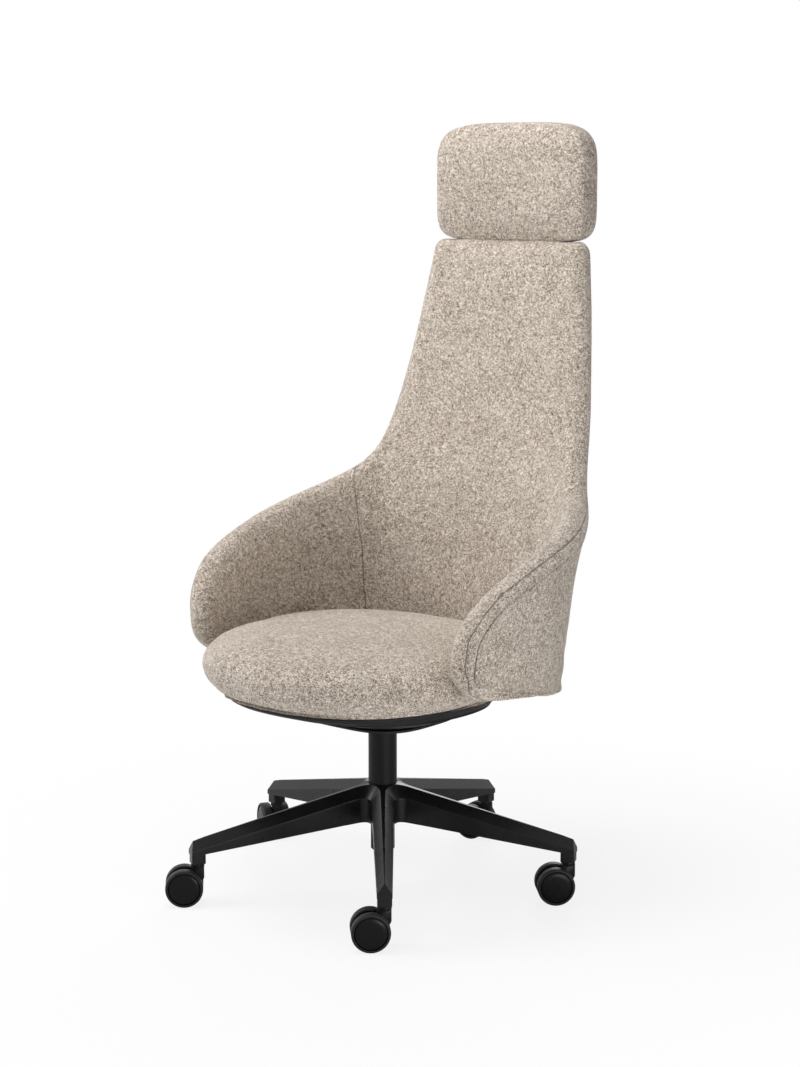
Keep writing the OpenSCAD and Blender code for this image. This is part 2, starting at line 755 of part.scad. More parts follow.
module seat_cushion() {
    color(wool) loft([for (i = [0 : len(cushion_drop_shares) - 1])
        seat_ring(-cushion_inset_shares[i] * seat_w / 2, seat_z + cushion_drop_shares[i] * seat_t, 56)]);
}

// Back: one curved surface, cut off along a rim

back_half_w = seat_w / 2 + arm_out;
back_sink = 16;
back_z0 = seat_z - back_sink;
back_rise = back_h + back_sink;
back_power = 2.35;
level_shares = [0, 0.055, 0.13, 0.222, 0.326, 0.404, 0.482, 0.587, 0.717, 0.847, 1];
half_width_shares = [0.925, 0.938, 0.967, 0.989, 0.998, 1.016, 1.056, 1.1, 1.156, 1.238, 1.325];
depth_shares = [0.963, 0.963, 0.985, 1, 1, 0.978, 0.934, 0.868, 0.79, 0.735, 0.699];
lean_shares = [-0.022, -0.005, 0.014, 0.08, 0.203, 0.346, 0.515, 0.678, 0.8, 0.9, 1];
rim_level_shares = [0.055, 0.068, 0.104, 0.156, 0.209, 0.261, 0.3, 0.332, 0.36, 0.386, 0.412, 0.443,
                    0.485, 0.537, 0.619, 0.704, 0.815, 0.926, 1];
rim_angles = [105, 112, 118, 119, 118.2, 113, 106, 95.2, 84.2, 72.2, 61.1, 49.5,
              41.8, 38, 34.7, 31.6, 27.9, 24.6, 22.7];
rear_drop = 33;
drop_h = 160;
drop_inner = 48;
drop_spread = 50;
rim_r = back_t / 2;
foot_r = 9;
probe = 1;
layer = shell_t / 2 + layer_gap;
lip = 30;
lip_gap = 1.5;
corner_r = 20;
corner_turn = 1.9;
foot_z = back_z0 + rim_level_shares[0] * back_rise;
top_z = back_z0 + back_rise;

function round_off(e, r) = let (t = clamp01(e / r)) sqrt(max(0, 1 - (1 - t) * (1 - t)));

function level(z) = (z - back_z0) / back_rise;
function rim_line(z) = curve(rim_level_shares, rim_angles, level(z));
function rim_angle(z) = rim_line(z) - corner_turn * (1 - round_off(top_z - z, corner_r));
function foot_drop(a, z) =
    rear_drop * (1 - smooth((abs(a) - drop_inner) / drop_spread))
        * pow(clamp01(1 - (z - foot_z) / drop_h), 2);

// Point of the middle surface at angle a and height z
function mid(a, z) =
    let (s = level(z), q = squircle(a, back_power))
    [back_half_w * curve(level_shares, half_width_shares, s) * q * sin(a),
     back_foot_y + back_lean * curve(level_shares, lean_shares, s)
        - back_depth * curve(level_shares, depth_shares, s) * (1 - q * cos(a)),
     z - foot_drop(a, z)];

// Unit normal of the middle surface, pointing at the sitter
function mid_normal(a, z) =
    unit(cross(mid(a + 0.5, z) - mid(a - 0.5, z), mid(a, z + probe) - mid(a, z - probe)));

// Rows of the curved surface: each runs level across the middle and climbs to the rim
rim_row_shares = [0.107, 0.156, 0.206, 0.254, 0.289, 0.318, 0.342, 0.363, 0.383, 0.405, 0.433, 0.472,
                  0.528, 0.606, 0.698, 0.795];
mid_row_shares = [0.089, 0.112, 0.133, 0.151, 0.167, 0.181, 0.196, 0.211, 0.231, 0.256, 0.289, 0.34,
                  0.415, 0.522, 0.643, 0.771];
guide_h = 113;
guide_low_z = top_z - guide_h;
foot_rows = [for (s = [0, 0.13, 0.5, 1]) foot_z + s * foot_r];
top_rows = [guide_low_z - 4, guide_low_z, top_z - guide_h / 2, top_z - 0.8 * rim_r, top_z - 0.4 * rim_r,
            top_z - 0.14 * rim_r, top_z];
rim_z = concat(foot_rows, [for (s = rim_row_shares) back_z0 + s * back_rise], top_rows);
mid_z = concat(foot_rows, [for (s = mid_row_shares) back_z0 + s * back_rise], top_rows);
top_row = len(rim_z) - 1;
climb_power = 4;
widest_share = 0.156;

// Below their widest level the arms draw in at the rim alone
function wide_angle(z) = rim_angle(max(z, back_z0 + widest_share * back_rise));

// Angle and height of the surface in row i, p of the way from the middle to the rim
function row_point(i, p) =
    let (wide = wide_angle(rim_z[i]), climb = pow(abs(p), climb_power))
    [p * wide - sign(p) * (wide - rim_angle(rim_z[i])) * climb, lerp(mid_z[i], rim_z[i], climb)];

// Share p at a distance e in from the rim, in row i
function share_in(i, e) =
    let (z = rim_z[i], arc = 0.9 * back_half_w * PI / 180,
         along = unit([(rim_line(z + probe) - rim_line(z - probe)) * arc, 2 * probe]),
         turn = wide_angle(z) - climb_power * (wide_angle(z) - rim_angle(z)),
         rate = turn * arc * along.y - climb_power * (z - mid_z[i]) * along.x)
    1 - e / rate;

lip_steps = [0, 0.1, 0.4, 1];
inner_steps = [for (i = [-6 : 6]) i / 6];
inner_edge = lip + lip_gap;
shell_start = 3;

// Share p of the shell's side in row i
function shell_side(i) = share_in(i, inner_edge + shell_start);

// Columns of row i: distance in from the nearer side rim, share p, and step across the inner panel.
// Padding, shell and rear panel have the same columns inside the shell's sides.
function row_columns(i, start) =
    let (p0 = shell_side(i), p1 = share_in(i, inner_edge + start),
         side = [for (s = lip_steps) [s * lip, share_in(i, s * lip), 1]])
    concat(start == 0 ? [for (c = side) [c[0], -c[1], 1]] : [],
           [[inner_edge, -p1, 1]], [for (s = inner_steps) [inner_edge, s * p0, s]], [[inner_edge, p1, 1]],
           start == 0 ? [for (j = [3 : -1 : 0]) side[j]] : []);

// Thickness shares of the padding along the rim's foot, top and side
function edge_share(z) = round_off(z - foot_z, foot_r) * round_off(top_z - z, rim_r);
function pad_front(e, z) = e > lip ? layer + (rim_r - layer) * edge_share(z)
    : rim_r * round_off(e, rim_r) * edge_share(z);

// In the back's top the layers close up beside the headrest's guide
function gap_half(i, step) = (mid_z[i] > guide_low_z - 1 && abs(step) > 0.4) ? soft_gap / 2 : layer;

// Point at an offset h from the surface, towards the sitter, in row i at share p
function at_offset(i, p, h) = let (q = row_point(i, p)) mid(q[0], q[1]) + h * mid_normal(q[0], q[1]);

module back_pad() {
    grid = [for (i = [0 : top_row]) row_columns(i, 0)];
    front = [for (i = [0 : top_row]) [for (c = grid[i]) at_offset(i, c[1], pad_front(c[0], rim_z[i]))]];
    rear = [for (i = [0 : top_row]) [for (c = grid[i])
        at_offset(i, c[1], c[0] > lip ? gap_half(i, c[2]) : -pad_front(c[0], rim_z[i]))]];
    color(wool) pillow(front, rear);
}

tongue_row = 7;
tongue_recess = 13;

module back_shell() {
    rows = [for (i = [2 : top_row]) if (mid_z[i] < guide_low_z - 1) i];
    front = [for (i = rows) [for (s = inner_steps) at_offset(i, s * shell_side(i), shell_t / 2)]];
    rear = [for (i = rows) [for (s = inner_steps) at_offset(i, s * shell_side(i), -shell_t / 2)]];
    color("#8d7350") slab(front, rear);
}

// The rear panel is hollowed at its foot for the bracket's tongue
function cover_front(i, step) =
    gap_half(i, step) + ((i <= tongue_row && abs(step) < 0.4) ? tongue_recess : 0);
function cover_rear(i, step) =
    max(cover_front(i, step) + soft_gap, layer + (rim_r - layer) * edge_share(rim_z[i]));

module back_cover() {
    cover_start = 0.9;
    grid = [for (i = [0 : top_row]) row_columns(i, cover_start)];
    front = [for (i = [0 : top_row]) [for (c = grid[i]) at_offset(i, c[1], -cover_front(i, c[2]))]];
    rear = [for (i = [0 : top_row]) [for (c = grid[i]) at_offset(i, c[1], -cover_rear(i, c[2]))]];
    color(wool_dark) slab(front, rear);
}

// The bracket runs back under the seat board and climbs behind the moulded shell
module back_bracket() {
    tongue_top = mid_z[tongue_row - 2];
    steps = 5;
    leg_top = plate_z - press_gap;
    rise_z = foot_z - rear_drop - 4;
    heights = [for (i = [0 : steps]) lerp(rise_z, tongue_top, i / steps)];
    face = [for (z = heights) let (u = max(z + foot_drop(0, z + rear_drop / 2), foot_z))
        mid(0, u).y + layer + soft_gap];
    inner = [for (i = [0 : steps]) [face[i], heights[i]]];
    outer = [for (i = [steps : -1 : 0]) [face[i] + bracket_t, heights[i]]];
    color(dark) difference() {
        profile_x(bracket_w, concat([[bracket_front, leg_top - bracket_t], [bracket_front, leg_top],
            [face[0] - bracket_t, leg_top]], inner, outer, [[face[0], leg_top - bracket_t]]));
        for (s = [-1, 1]) translate([s * bracket_screw_x, bracket_screw_y, leg_top - bracket_t - cut])
            cylinder(r = screw_d / 2 + press_gap, h = bracket_t + 2 * cut);
    }
}

// Headrest

head_z = top_z + head_gap + head_h / 2;
slide_low = mid(0, guide_low_z + 3);
slide_high = mid(0, top_z - 5);
slide_dir = unit(slide_high - slide_low);
head_y = slide_high.y + 12.6;
head_power = 4.5;
head_bow = 10;
head_lip = 28;
notch_half = blade_w / 2 + 2;
pocket_y = head_y - 15;
head_board_t = 12;
head_board_w = 190;
head_board_h = 120;
blade_y = pocket_y + soft_gap + head_board_t / 2;
blade_top_z = head_z + 20;
bend_z = top_z + head_gap + 8;

// Point on the slide line at height z
function slide_y(z) = slide_low.y + (z - slide_low.z) * slide_dir.y / slide_dir.z;

module headrest_guide() {
    guide_w = 76;
    guide_t = shell_t - 0.6;
    z0 = slide_low.z;
    z1 = top_z - 8;
    color(dark) difference() {
        profile_x(guide_w, [[slide_y(z0) - guide_t / 2, z0], [slide_y(z0) + guide_t / 2, z0],
                            [slide_y(z1) + guide_t / 2, z1], [slide_y(z1) - guide_t / 2, z1]]);
        profile_x(blade_w + 4 * run_gap, [[slide_y(z0 - cut) - blade_t / 2 - 2 * run_gap, z0 - cut],
            [slide_y(z0 - cut) + blade_t / 2 + 2 * run_gap, z0 - cut],
            [slide_y(z1 + cut) + blade_t / 2 + 2 * run_gap, z1 + cut],
            [slide_y(z1 + cut) - blade_t / 2 - 2 * run_gap, z1 + cut]]);
    }
}

module headrest_blade() {
    low = guide_low_z + 8;
    h = blade_t / 2;
    color(steel) profile_x(blade_w, [[slide_y(low) - h, low], [slide_y(low) + h, low],
        [slide_y(bend_z) + h, bend_z], [blade_y + h, bend_z + 2 * h], [blade_y + h, blade_top_z],
        [blade_y - h, blade_top_z], [blade_y - h, bend_z + 2 * h], [slide_y(bend_z) - h, bend_z]]);
}

module headrest_board() {
    y0 = pocket_y + soft_gap;
    corner_r = 24;
    color("#b89a6c") difference() {
        translate([0, y0 + head_board_t, head_z]) rotate([90, 0, 0]) linear_extrude(head_board_t)
            polygon(rounded_rect(head_board_w, head_board_h, corner_r));
        translate([-blade_w / 2 - press_gap, blade_y - blade_t / 2 - press_gap, head_z - head_h])
            cube([blade_w + 2 * press_gap, blade_t + 2 * press_gap,
                  head_h + blade_top_z - head_z + 2 * press_gap]);
    }
}

// Directions round the headrest from its foot, with a pair either side of the blade's notch
notch_a = atan(notch_half / (head_h / 2));
notch_edge_a = atan((notch_half + 1.5) / (head_h / 2));
head_steps = 40;
head_turns = [for (i = [0 : head_steps]) notch_edge_a + i * (360 - 2 * notch_edge_a) / head_steps];
head_angles = concat([for (a = head_turns) if (a > 45) a], [360 - notch_a, 360, 360 + notch_a],
                     [for (a = head_turns) if (a <= 45) 360 + a]);

// Ring of the headrest: inset from its side, and depth from its middle plane
function head_ring(inset, depth, flat = false) =
    [for (a = head_angles)
        let (q = squircle(a, head_power), x = -(head_w / 2 - inset) * q * sin(a),
             z = -(head_h / 2 - inset) * q * cos(a), bow = flat ? 0 : head_bow * pow(x / (head_w / 2), 2))
        [x, head_y + depth - bow, head_z + z]];

// The rear lip is left out at the foot, where the blade comes in
function open_foot(points, floor_y) =
    [for (i = [0 : len(points) - 1])
        abs(head_angles[i] - 360) < notch_a + 0.1 ? [points[i].x, floor_y, points[i].z] : points[i]];

half_head = head_t / 2;
front_inset_shares = [0.94, 0.7, 0.42, 0.2, 0.09, 0.03, 0];
front_depth_shares = [-1, -0.985, -0.95, -0.89, -0.79, -0.62, -0.4];
rear_inset_shares = [0, 0.03, 0.09];
rear_depth_shares = [0.3, 0.62, 0.84];

// A ring of the headrest's outer skin, by its shares of half height and half thickness
function skin_ring(inset_share, depth_share) = head_ring(inset_share * head_h / 2, depth_share * half_head);
lip_depth = 0.97 * half_head;

module headrest_cushion() {
    floor_y = pocket_y;
    lip_ring = head_ring(head_lip, lip_depth);
    wall = head_ring(head_lip + 1, 0, true);
    pocket = [for (p = wall) [p.x, floor_y, p.z]];
    shrunk = [for (p = wall) [p.x / 3, floor_y, head_z + (p.z - head_z) / 3]];
    front = [for (i = [0 : len(front_inset_shares) - 1])
        skin_ring(front_inset_shares[i], front_depth_shares[i])];
    rear = [for (i = [0 : len(rear_inset_shares) - 1])
        open_foot(skin_ring(rear_inset_shares[i], rear_depth_shares[i]), floor_y)];
    color(wool) loft(concat([flat_ring(front[0])], front, rear, [open_foot(lip_ring, floor_y), pocket, shrunk]));
}

// A small flat ring inside a curved one, so that the end closes flat
function flat_ring(points) =
    let (y = min([for (p = points) p.y])) [for (p = points) [p.x / 2, y, head_z + (p.z - head_z) / 2]];

module headrest_cover() {
    front_y = pocket_y + 2 * soft_gap + head_board_t;
    inset = head_lip + 1 + soft_gap;
    skin = head_ring(inset, lip_depth);
    lifted = head_ring(inset + 16, half_head);
    face = [for (p = skin) [p.x, front_y, p.z]];
    color(wool_dark) loft([face, skin, lifted, flat_rear(lifted)]);
}

function flat_rear(points) =
    let (y = max([for (p = points) p.y])) [for (p = points) [p.x / 2, y, head_z + (p.z - head_z) / 2]];

// Drawing

base_star();
castor_stems();
column_tube();
column_bush();
thrust_bearing();
piston_rod();
rod_clip();
gas_cylinder();
release_button();
tilt_housing();
tilt_cover();
tilt_axle();
tilt_spring();
height_lever();
tilt_lever();
seat_plate();
seat_board();
seat_pan();
seat_cushion();
frame_screws();
back_bracket();
back_shell();
back_pad();
back_cover();
headrest_guide();
headrest_blade();
headrest_board();
headrest_cushion();
headrest_cover();
for (k = [0 : arm_count - 1]) {
    castor_housing(k);
    castor_axle(k);
    castor_wheel(k, 1);
    castor_wheel(k, -1);
    castor_tread(k, 1);
    castor_tread(k, -1);
}
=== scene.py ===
import json
import math

import bmesh
import bpy
from mathutils import Matrix, Vector, kdtree


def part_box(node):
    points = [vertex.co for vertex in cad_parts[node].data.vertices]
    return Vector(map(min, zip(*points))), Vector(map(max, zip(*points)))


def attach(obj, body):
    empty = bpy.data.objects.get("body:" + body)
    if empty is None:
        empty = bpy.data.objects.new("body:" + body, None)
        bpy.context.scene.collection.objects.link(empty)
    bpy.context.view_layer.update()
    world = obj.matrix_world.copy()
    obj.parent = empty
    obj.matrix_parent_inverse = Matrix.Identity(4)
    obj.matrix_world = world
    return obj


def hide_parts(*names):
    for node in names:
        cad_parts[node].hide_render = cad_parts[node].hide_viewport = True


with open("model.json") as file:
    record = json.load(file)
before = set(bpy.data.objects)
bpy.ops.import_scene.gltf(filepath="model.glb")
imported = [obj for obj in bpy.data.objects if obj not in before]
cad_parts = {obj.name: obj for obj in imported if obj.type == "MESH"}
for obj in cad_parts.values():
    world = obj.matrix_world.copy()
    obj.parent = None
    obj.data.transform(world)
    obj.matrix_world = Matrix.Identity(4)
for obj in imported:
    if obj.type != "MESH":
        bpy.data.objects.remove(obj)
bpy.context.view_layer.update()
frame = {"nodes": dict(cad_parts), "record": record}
scene = bpy.context.scene
tiny = 1e-6      # metres, for welds and against dividing by nought
print("frame loaded:", len(frame["nodes"]), "nodes")

# Camera and light

cameraSetup = {
    "location": (2.462, -2.934, 1.252),
    "turn": (80.74, 0.0, 39.546),          # degrees
    "lens": 75.9, "frameHeight": 36.0,     # millimetres
}
lightSetup = {
    "worldLevel": 0.03,
    "key": {"place": (-2.6, -2.2, 2.0), "aim": (0.0, 0.0, 0.8), "size": 1.8, "watts": 75.0},
    "side": {"place": (2.5, -1.1, 0.2), "aim": (0.1, 0.0, 0.5), "size": 1.0, "watts": 29.0},
    "kick": {"place": (2.6, 0.1, 0.4), "aim": (0.3, 0.0, 0.5), "size": 0.8, "watts": 8.0},
    "rear": {"place": (-1.6, 3.2, 2.0), "aim": (0.0, 0.1, 0.8), "size": 1.6, "watts": 34.0},
    "top": {"place": (-0.3, -0.5, 3.2), "aim": (0.0, 0.0, 0.4), "size": 2.0, "watts": 64.0},
}


def feed(tree, socket, value):
    # into a socket goes another node's output, or else a plain value
    if isinstance(value, bpy.types.NodeSocket):
        tree.links.new(value, socket)
    else:
        socket.default_value = value


def mathNode(tree, operation, a, b=None):
    node = tree.nodes.new("ShaderNodeMath")
    node.operation = operation
    feed(tree, node.inputs[0], a)
    if b is not None:
        feed(tree, node.inputs[1], b)
    return node.outputs[0]


def makeCamera(setup):
    data = bpy.data.cameras.new("photoCamera")
    data.sensor_fit = "VERTICAL"
    data.sensor_height = setup["frameHeight"]
    data.lens = setup["lens"]
    camera = bpy.data.objects.new("photoCamera", data)
    camera.location = setup["location"]
    camera.rotation_euler = [math.radians(a) for a in setup["turn"]]
    scene.collection.objects.link(camera)
    scene.camera = camera


def makeLamp(name, setup):
    data = bpy.data.lights.new(name, "AREA")
    data.shape = "SQUARE"
    data.size = setup["size"]
    data.energy = setup["watts"]
    lamp = bpy.data.objects.new(name, data)
    lamp.location = setup["place"]
    aim = Vector(setup["aim"]) - Vector(setup["place"])
    lamp.rotation_euler = aim.to_track_quat("-Z", "Y").to_euler()
    scene.collection.objects.link(lamp)


def makeWorld(level):
    # white to the camera and in reflections, dim as a light
    world = bpy.data.worlds.new("paleStudio")
    scene.world = world
    world.use_nodes = True
    tree = world.node_tree
    tree.nodes.clear()
    out = tree.nodes.new("ShaderNodeOutputWorld")
    path = tree.nodes.new("ShaderNodeLightPath")
    mix = tree.nodes.new("ShaderNodeMixShader")
    for index, strength in ((1, level), (2, 1.0)):
        tone = tree.nodes.new("ShaderNodeBackground")
        tone.inputs["Color"].default_value = (1.0, 1.0, 1.0, 1.0)
        tone.inputs["Strength"].default_value = strength
        tree.links.new(tone.outputs[0], mix.inputs[index])
    direct = mathNode(tree, "MAXIMUM", path.outputs["Is Camera Ray"], path.outputs["Is Transmission Ray"])
    tree.links.new(mathNode(tree, "MAXIMUM", direct, path.outputs["Is Glossy Ray"]), mix.inputs["Fac"])
    tree.links.new(mix.outputs[0], out.inputs["Surface"])


makeCamera(cameraSetup)
makeWorld(lightSetup["worldLevel"])
for lampName in ("key", "side", "kick", "rear", "top"):
    makeLamp(lampName + "Lamp", lightSetup[lampName])
scene.view_settings.view_transform = "Standard"
print("camera and light ready")

# Shared shader groups

curlShape = {
    "scale": 300.0,
    "fieldDetail": 0.6, "fieldTwist": 1.4, "strandWidth": 0.13,
    # the other layers: scale against the strands', detail and roughness
    "finer": (2.3, 2.0, 0.6), "coarser": (0.45, 2.0, 0.55), "cloud": (0.06, 3.0, 0.6),
    "finerWeight": 0.55, "coarserWeight": 0.45,
}
seamShape = {
    "width": 0.0012, "stitch": 0.006,                                       # metres
    "groove": (0.2, 1.6), "bandStart": (1.4, 2.2), "bandEnd": (3.2, 4.0),   # in widths from the seam
    "pucker": 0.35,
}
grainShape = {
    "scale": 900.0, "peelDetail": 2.0,
    "hazeScale": 0.02, "hazeDetail": 4.0, "hazeRoughness": 0.6, "hazeTwist": 0.4,
    "dustRange": (0.35, 0.8),
}


def newGroup(name, inputs, outputs):
    # an input without a value is a vector, and all the rest are numbers
    group = bpy.data.node_groups.new(name, "ShaderNodeTree")
    for label, value in inputs.items():
        kind = "NodeSocketVector" if value is None else "NodeSocketFloat"
        socket = group.interface.new_socket(name=label, in_out="INPUT", socket_type=kind)
        if value is not None:
            socket.default_value = value
    for label in outputs:
        group.interface.new_socket(name=label, in_out="OUTPUT", socket_type="NodeSocketFloat")
    entry = group.nodes.new("NodeGroupInput")
    leave = group.nodes.new("NodeGroupOutput")
    return group, entry.outputs, leave.inputs


def noiseNode(tree, vector, scale, detail=2.0, roughness=0.5, distortion=0.0):
    node = tree.nodes.new("ShaderNodeTexNoise")
    node.inputs["Detail"].default_value = detail
    node.inputs["Roughness"].default_value = roughness
    node.inputs["Distortion"].default_value = distortion
    feed(tree, node.inputs["Scale"], scale)
    feed(tree, node.inputs["Vector"], vector)
    return node.outputs["Fac"]


def rangeNode(tree, value, low, high, toLow=0.0, toHigh=1.0):
    node = tree.nodes.new("ShaderNodeMapRange")
    node.interpolation_type = "SMOOTHSTEP"
    node.inputs["From Min"].default_value = low
    node.inputs["From Max"].default_value = high
    node.inputs["To Min"].default_value = toLow
    node.inputs["To Max"].default_value = toHigh
    tree.links.new(value, node.inputs["Value"])
    return node.outputs["Result"]


def weightedSum(tree, *terms):
    # each term is an output and its weight
    total = None
    for value, weight in terms:
        part = mathNode(tree, "MULTIPLY", value, weight)
        total = part if total is None else mathNode(tree, "ADD", total, part)
    return total


def makeCurlGroup():
    # curly wool: squiggly strands between darker gaps, with pale nubs here and there
    z = curlShape
    inputs, outputs = {"Vector": None, "Scale": z["scale"]}, ("Strand", "Tone", "Cloud")
    group, entry, leave = newGroup("woolCurl", inputs, outputs)

    def layer(share, detail, roughness):
        scale = mathNode(group, "MULTIPLY", entry["Scale"], share)
        return noiseNode(group, entry["Vector"], scale, detail, roughness)

    field = noiseNode(group, entry["Vector"], entry["Scale"], z["fieldDetail"], distortion=z["fieldTwist"])
    ridge = mathNode(group, "ABSOLUTE", mathNode(group, "SUBTRACT", field, 0.5))
    tone = weightedSum(group, (layer(*z["finer"]), z["finerWeight"]),
                       (layer(*z["coarser"]), z["coarserWeight"]))
    group.links.new(rangeNode(group, ridge, 0.0, z["strandWidth"], 1.0, 0.0), leave["Strand"])
    group.links.new(tone, leave["Tone"])
    group.links.new(layer(*z["cloud"]), leave["Cloud"])
    return group


def makeSeamGroup():
    # a sewn seam: distance and run come from the piece's own attributes, in metres
    z = seamShape
    inputs = {"Width": z["width"], "Stitch": z["stitch"]}
    group, entry, leave = newGroup("sewnSeam", inputs, ("Line", "Height"))

    def attribute(name):
        node = group.nodes.new("ShaderNodeAttribute")
        node.attribute_name = name
        return node.outputs["Fac"]

    share = mathNode(group, "DIVIDE", mathNode(group, "ABSOLUTE", attribute("seamGap")), entry["Width"])
    # the groove: sunk in by the height below, and painted darker by the wool as painted shade
    groove = rangeNode(group, share, *z["groove"], 1.0, 0.0)
    stitches = mathNode(group, "DIVIDE", attribute("seamRun"), entry["Stitch"])
    swing = mathNode(group, "SINE", mathNode(group, "MULTIPLY", stitches, 2 * math.pi))
    wave = mathNode(group, "MULTIPLY", mathNode(group, "ADD", swing, 1.0), 0.5)
    band = mathNode(group, "MULTIPLY", rangeNode(group, share, *z["bandStart"]),
                    rangeNode(group, share, *z["bandEnd"], 1.0, 0.0))
    pucker = mathNode(group, "MULTIPLY", mathNode(group, "MULTIPLY", band, wave), z["pucker"])
    group.links.new(groove, leave["Line"])
    group.links.new(mathNode(group, "SUBTRACT", pucker, groove), leave["Height"])
    return group


def makeGrainGroup():
    # fine orange-peel of paint and moulded plastic, with faint dust and handling marks
    z = grainShape
    inputs = {"Vector": None, "Scale": z["scale"]}
    group, entry, leave = newGroup("paintGrain", inputs, ("Height", "Dust"))
    peel = noiseNode(group, entry["Vector"], entry["Scale"], z["peelDetail"])
    haze = noiseNode(group, entry["Vector"], mathNode(group, "MULTIPLY", entry["Scale"], z["hazeScale"]),
                     z["hazeDetail"], z["hazeRoughness"], z["hazeTwist"])
    group.links.new(peel, leave["Height"])
    group.links.new(rangeNode(group, haze, *z["dustRange"]), leave["Dust"])
    return group


curlGroup = makeCurlGroup()
seamGroup = makeSeamGroup()
grainGroup = makeGrainGroup()
print("shader groups ready")

# Materials

woolLook = {
    "dark": (0.17, 0.12, 0.08, 1.0), "darkAt": 0.34,
    "body": (0.505, 0.425, 0.345, 1.0), "bodyAt": 0.60,
    "pale": (0.89, 0.81, 0.725, 1.0), "paleAt": 0.90,
    "curlScale": 270.0,
    "strandTone": 0.5, "grainTone": 0.66, "cloudTone": 0.16,
    "strandHeight": 0.7, "grainHeight": 0.6, "seamHeight": 2.0,
    "relief": 0.55, "reliefDepth": 0.0009,
    "seamShade": 0.45, "seamShadeShow": 0.66,      # painted shade in the seam's groove: how dark it is against the dark tone, and how far it covers
    "surface": {"Roughness": 0.92, "Sheen Weight": 0.25, "Sheen Roughness": 0.5,
                "Specular IOR Level": 0.25},
}
coatedLook = {
    "dustTone": 0.5, "dustRoughness": 6.0,   # what a material's dust adds to its colour and its roughness
    "peelDepth": 0.0002, "coatRoughness": 0.2,
}
plywoodLook = {
    "stretch": (1.0, 14.0, 14.0), "scale": 22.0, "detail": 4.0, "grainRoughness": 0.6, "twist": 0.8,
    "stops": [(0.3, (0.34, 0.22, 0.12, 1.0)), (0.7, (0.56, 0.41, 0.25, 1.0))],
    "relief": 0.2, "reliefDepth": 0.0004, "roughness": 0.6,
}
steelLook = {
    "stretch": (1.0, 1.0, 0.05), "scale": 1800.0, "detail": 3.0, "grainRoughness": 0.6,
    "grainRange": (0.3, 0.7), "roughness": (0.22, 0.4),
    "tones": [(0.5, 0.5, 0.51, 1.0), (0.62, 0.62, 0.63, 1.0)],
}


def newMaterial(name):
    material = bpy.data.materials.new(name)
    material.use_nodes = True
    tree = material.node_tree
    shader = tree.nodes["Principled BSDF"]
    coords = tree.nodes.new("ShaderNodeTexCoord")
    return material, tree, shader, coords.outputs["Object"]


def setInputs(node, values):
    for name, value in values.items():
        node.inputs[name].default_value = value


def placeGroup(tree, group):
    node = tree.nodes.new("ShaderNodeGroup")
    node.node_tree = group
    return node


def stretched(tree, coords, scale):
    node = tree.nodes.new("ShaderNodeMapping")
    node.inputs["Scale"].default_value = scale
    tree.links.new(coords, node.inputs["Vector"])
    return node.outputs["Vector"]


def rampNode(tree, value, stops):
    node = tree.nodes.new("ShaderNodeValToRGB")
    ramp = node.color_ramp
    while len(ramp.elements) < len(stops):
        ramp.elements.new(0.5)
    for element, (place, colour) in zip(ramp.elements, stops):
        element.position = place
        element.color = colour
    tree.links.new(value, node.inputs["Fac"])
    return node.outputs["Color"]


def mixColour(tree, factor, first, second):
    node = tree.nodes.new("ShaderNodeMix")
    node.data_type = "RGBA"
    for index, value in ((0, factor), (6, first), (7, second)):
        feed(tree, node.inputs[index], value)
    return node.outputs[2]


def bumpNode(tree, height, strength, distance):
    node = tree.nodes.new("ShaderNodeBump")
    node.inputs["Strength"].default_value = strength
    node.inputs["Distance"].default_value = distance
    tree.links.new(height, node.inputs["Height"])
    return node.outputs["Normal"]


def makeWool(name):
    z = woolLook
    material, tree, shader, coords = newMaterial(name)
    curl = placeGroup(tree, curlGroup)
    curl.inputs["Scale"].default_value = z["curlScale"]
    tree.links.new(coords, curl.inputs["Vector"])
    seam = placeGroup(tree, seamGroup)
    strand, grain, cloud = (curl.outputs[part] for part in ("Strand", "Tone", "Cloud"))
    tone = weightedSum(tree, (strand, z["strandTone"]), (grain, z["grainTone"]), (cloud, z["cloudTone"]))
    colour = rampNode(tree, tone, [(z[part + "At"], z[part]) for part in ("dark", "body", "pale")])
    # painted shade: the seam's groove is mixed toward a darker colour, as the shade in its crease
    seamShadeColour = tuple(z["seamShade"] * c for c in z["dark"][:3]) + (1.0,)
    cover = mathNode(tree, "MULTIPLY", seam.outputs["Line"], z["seamShadeShow"])
    height = weightedSum(tree, (strand, z["strandHeight"]), (grain, z["grainHeight"]),
                         (seam.outputs["Height"], z["seamHeight"]))
    tree.links.new(mixColour(tree, cover, colour, seamShadeColour), shader.inputs["Base Color"])
    tree.links.new(bumpNode(tree, height, z["relief"], z["reliefDepth"]), shader.inputs["Normal"])
    setInputs(shader, z["surface"])
    return material


def makeCoated(name, colour, roughness, peel, dust, coat=0.0, scale=900.0, shine=0.12):
    # paint, moulded plastic and rubber: one colour with haze in its gloss and a fine peel
    z = coatedLook
    material, tree, shader, coords = newMaterial(name)
    grain = placeGroup(tree, grainGroup)
    grain.inputs["Scale"].default_value = scale
    tree.links.new(coords, grain.inputs["Vector"])
    lifted = tuple(min(1.0, c + dust * z["dustTone"]) for c in colour) + (1.0,)
    shade = mixColour(tree, grain.outputs["Dust"], colour + (1.0,), lifted)
    haze = mathNode(tree, "MULTIPLY", grain.outputs["Dust"], dust * z["dustRoughness"])
    tree.links.new(shade, shader.inputs["Base Color"])
    tree.links.new(mathNode(tree, "ADD", haze, roughness), shader.inputs["Roughness"])
    tree.links.new(bumpNode(tree, grain.outputs["Height"], peel, z["peelDepth"]), shader.inputs["Normal"])
    setInputs(shader, {"Specular IOR Level": shine, "Coat Weight": coat,
                       "Coat Roughness": z["coatRoughness"]})
    return material


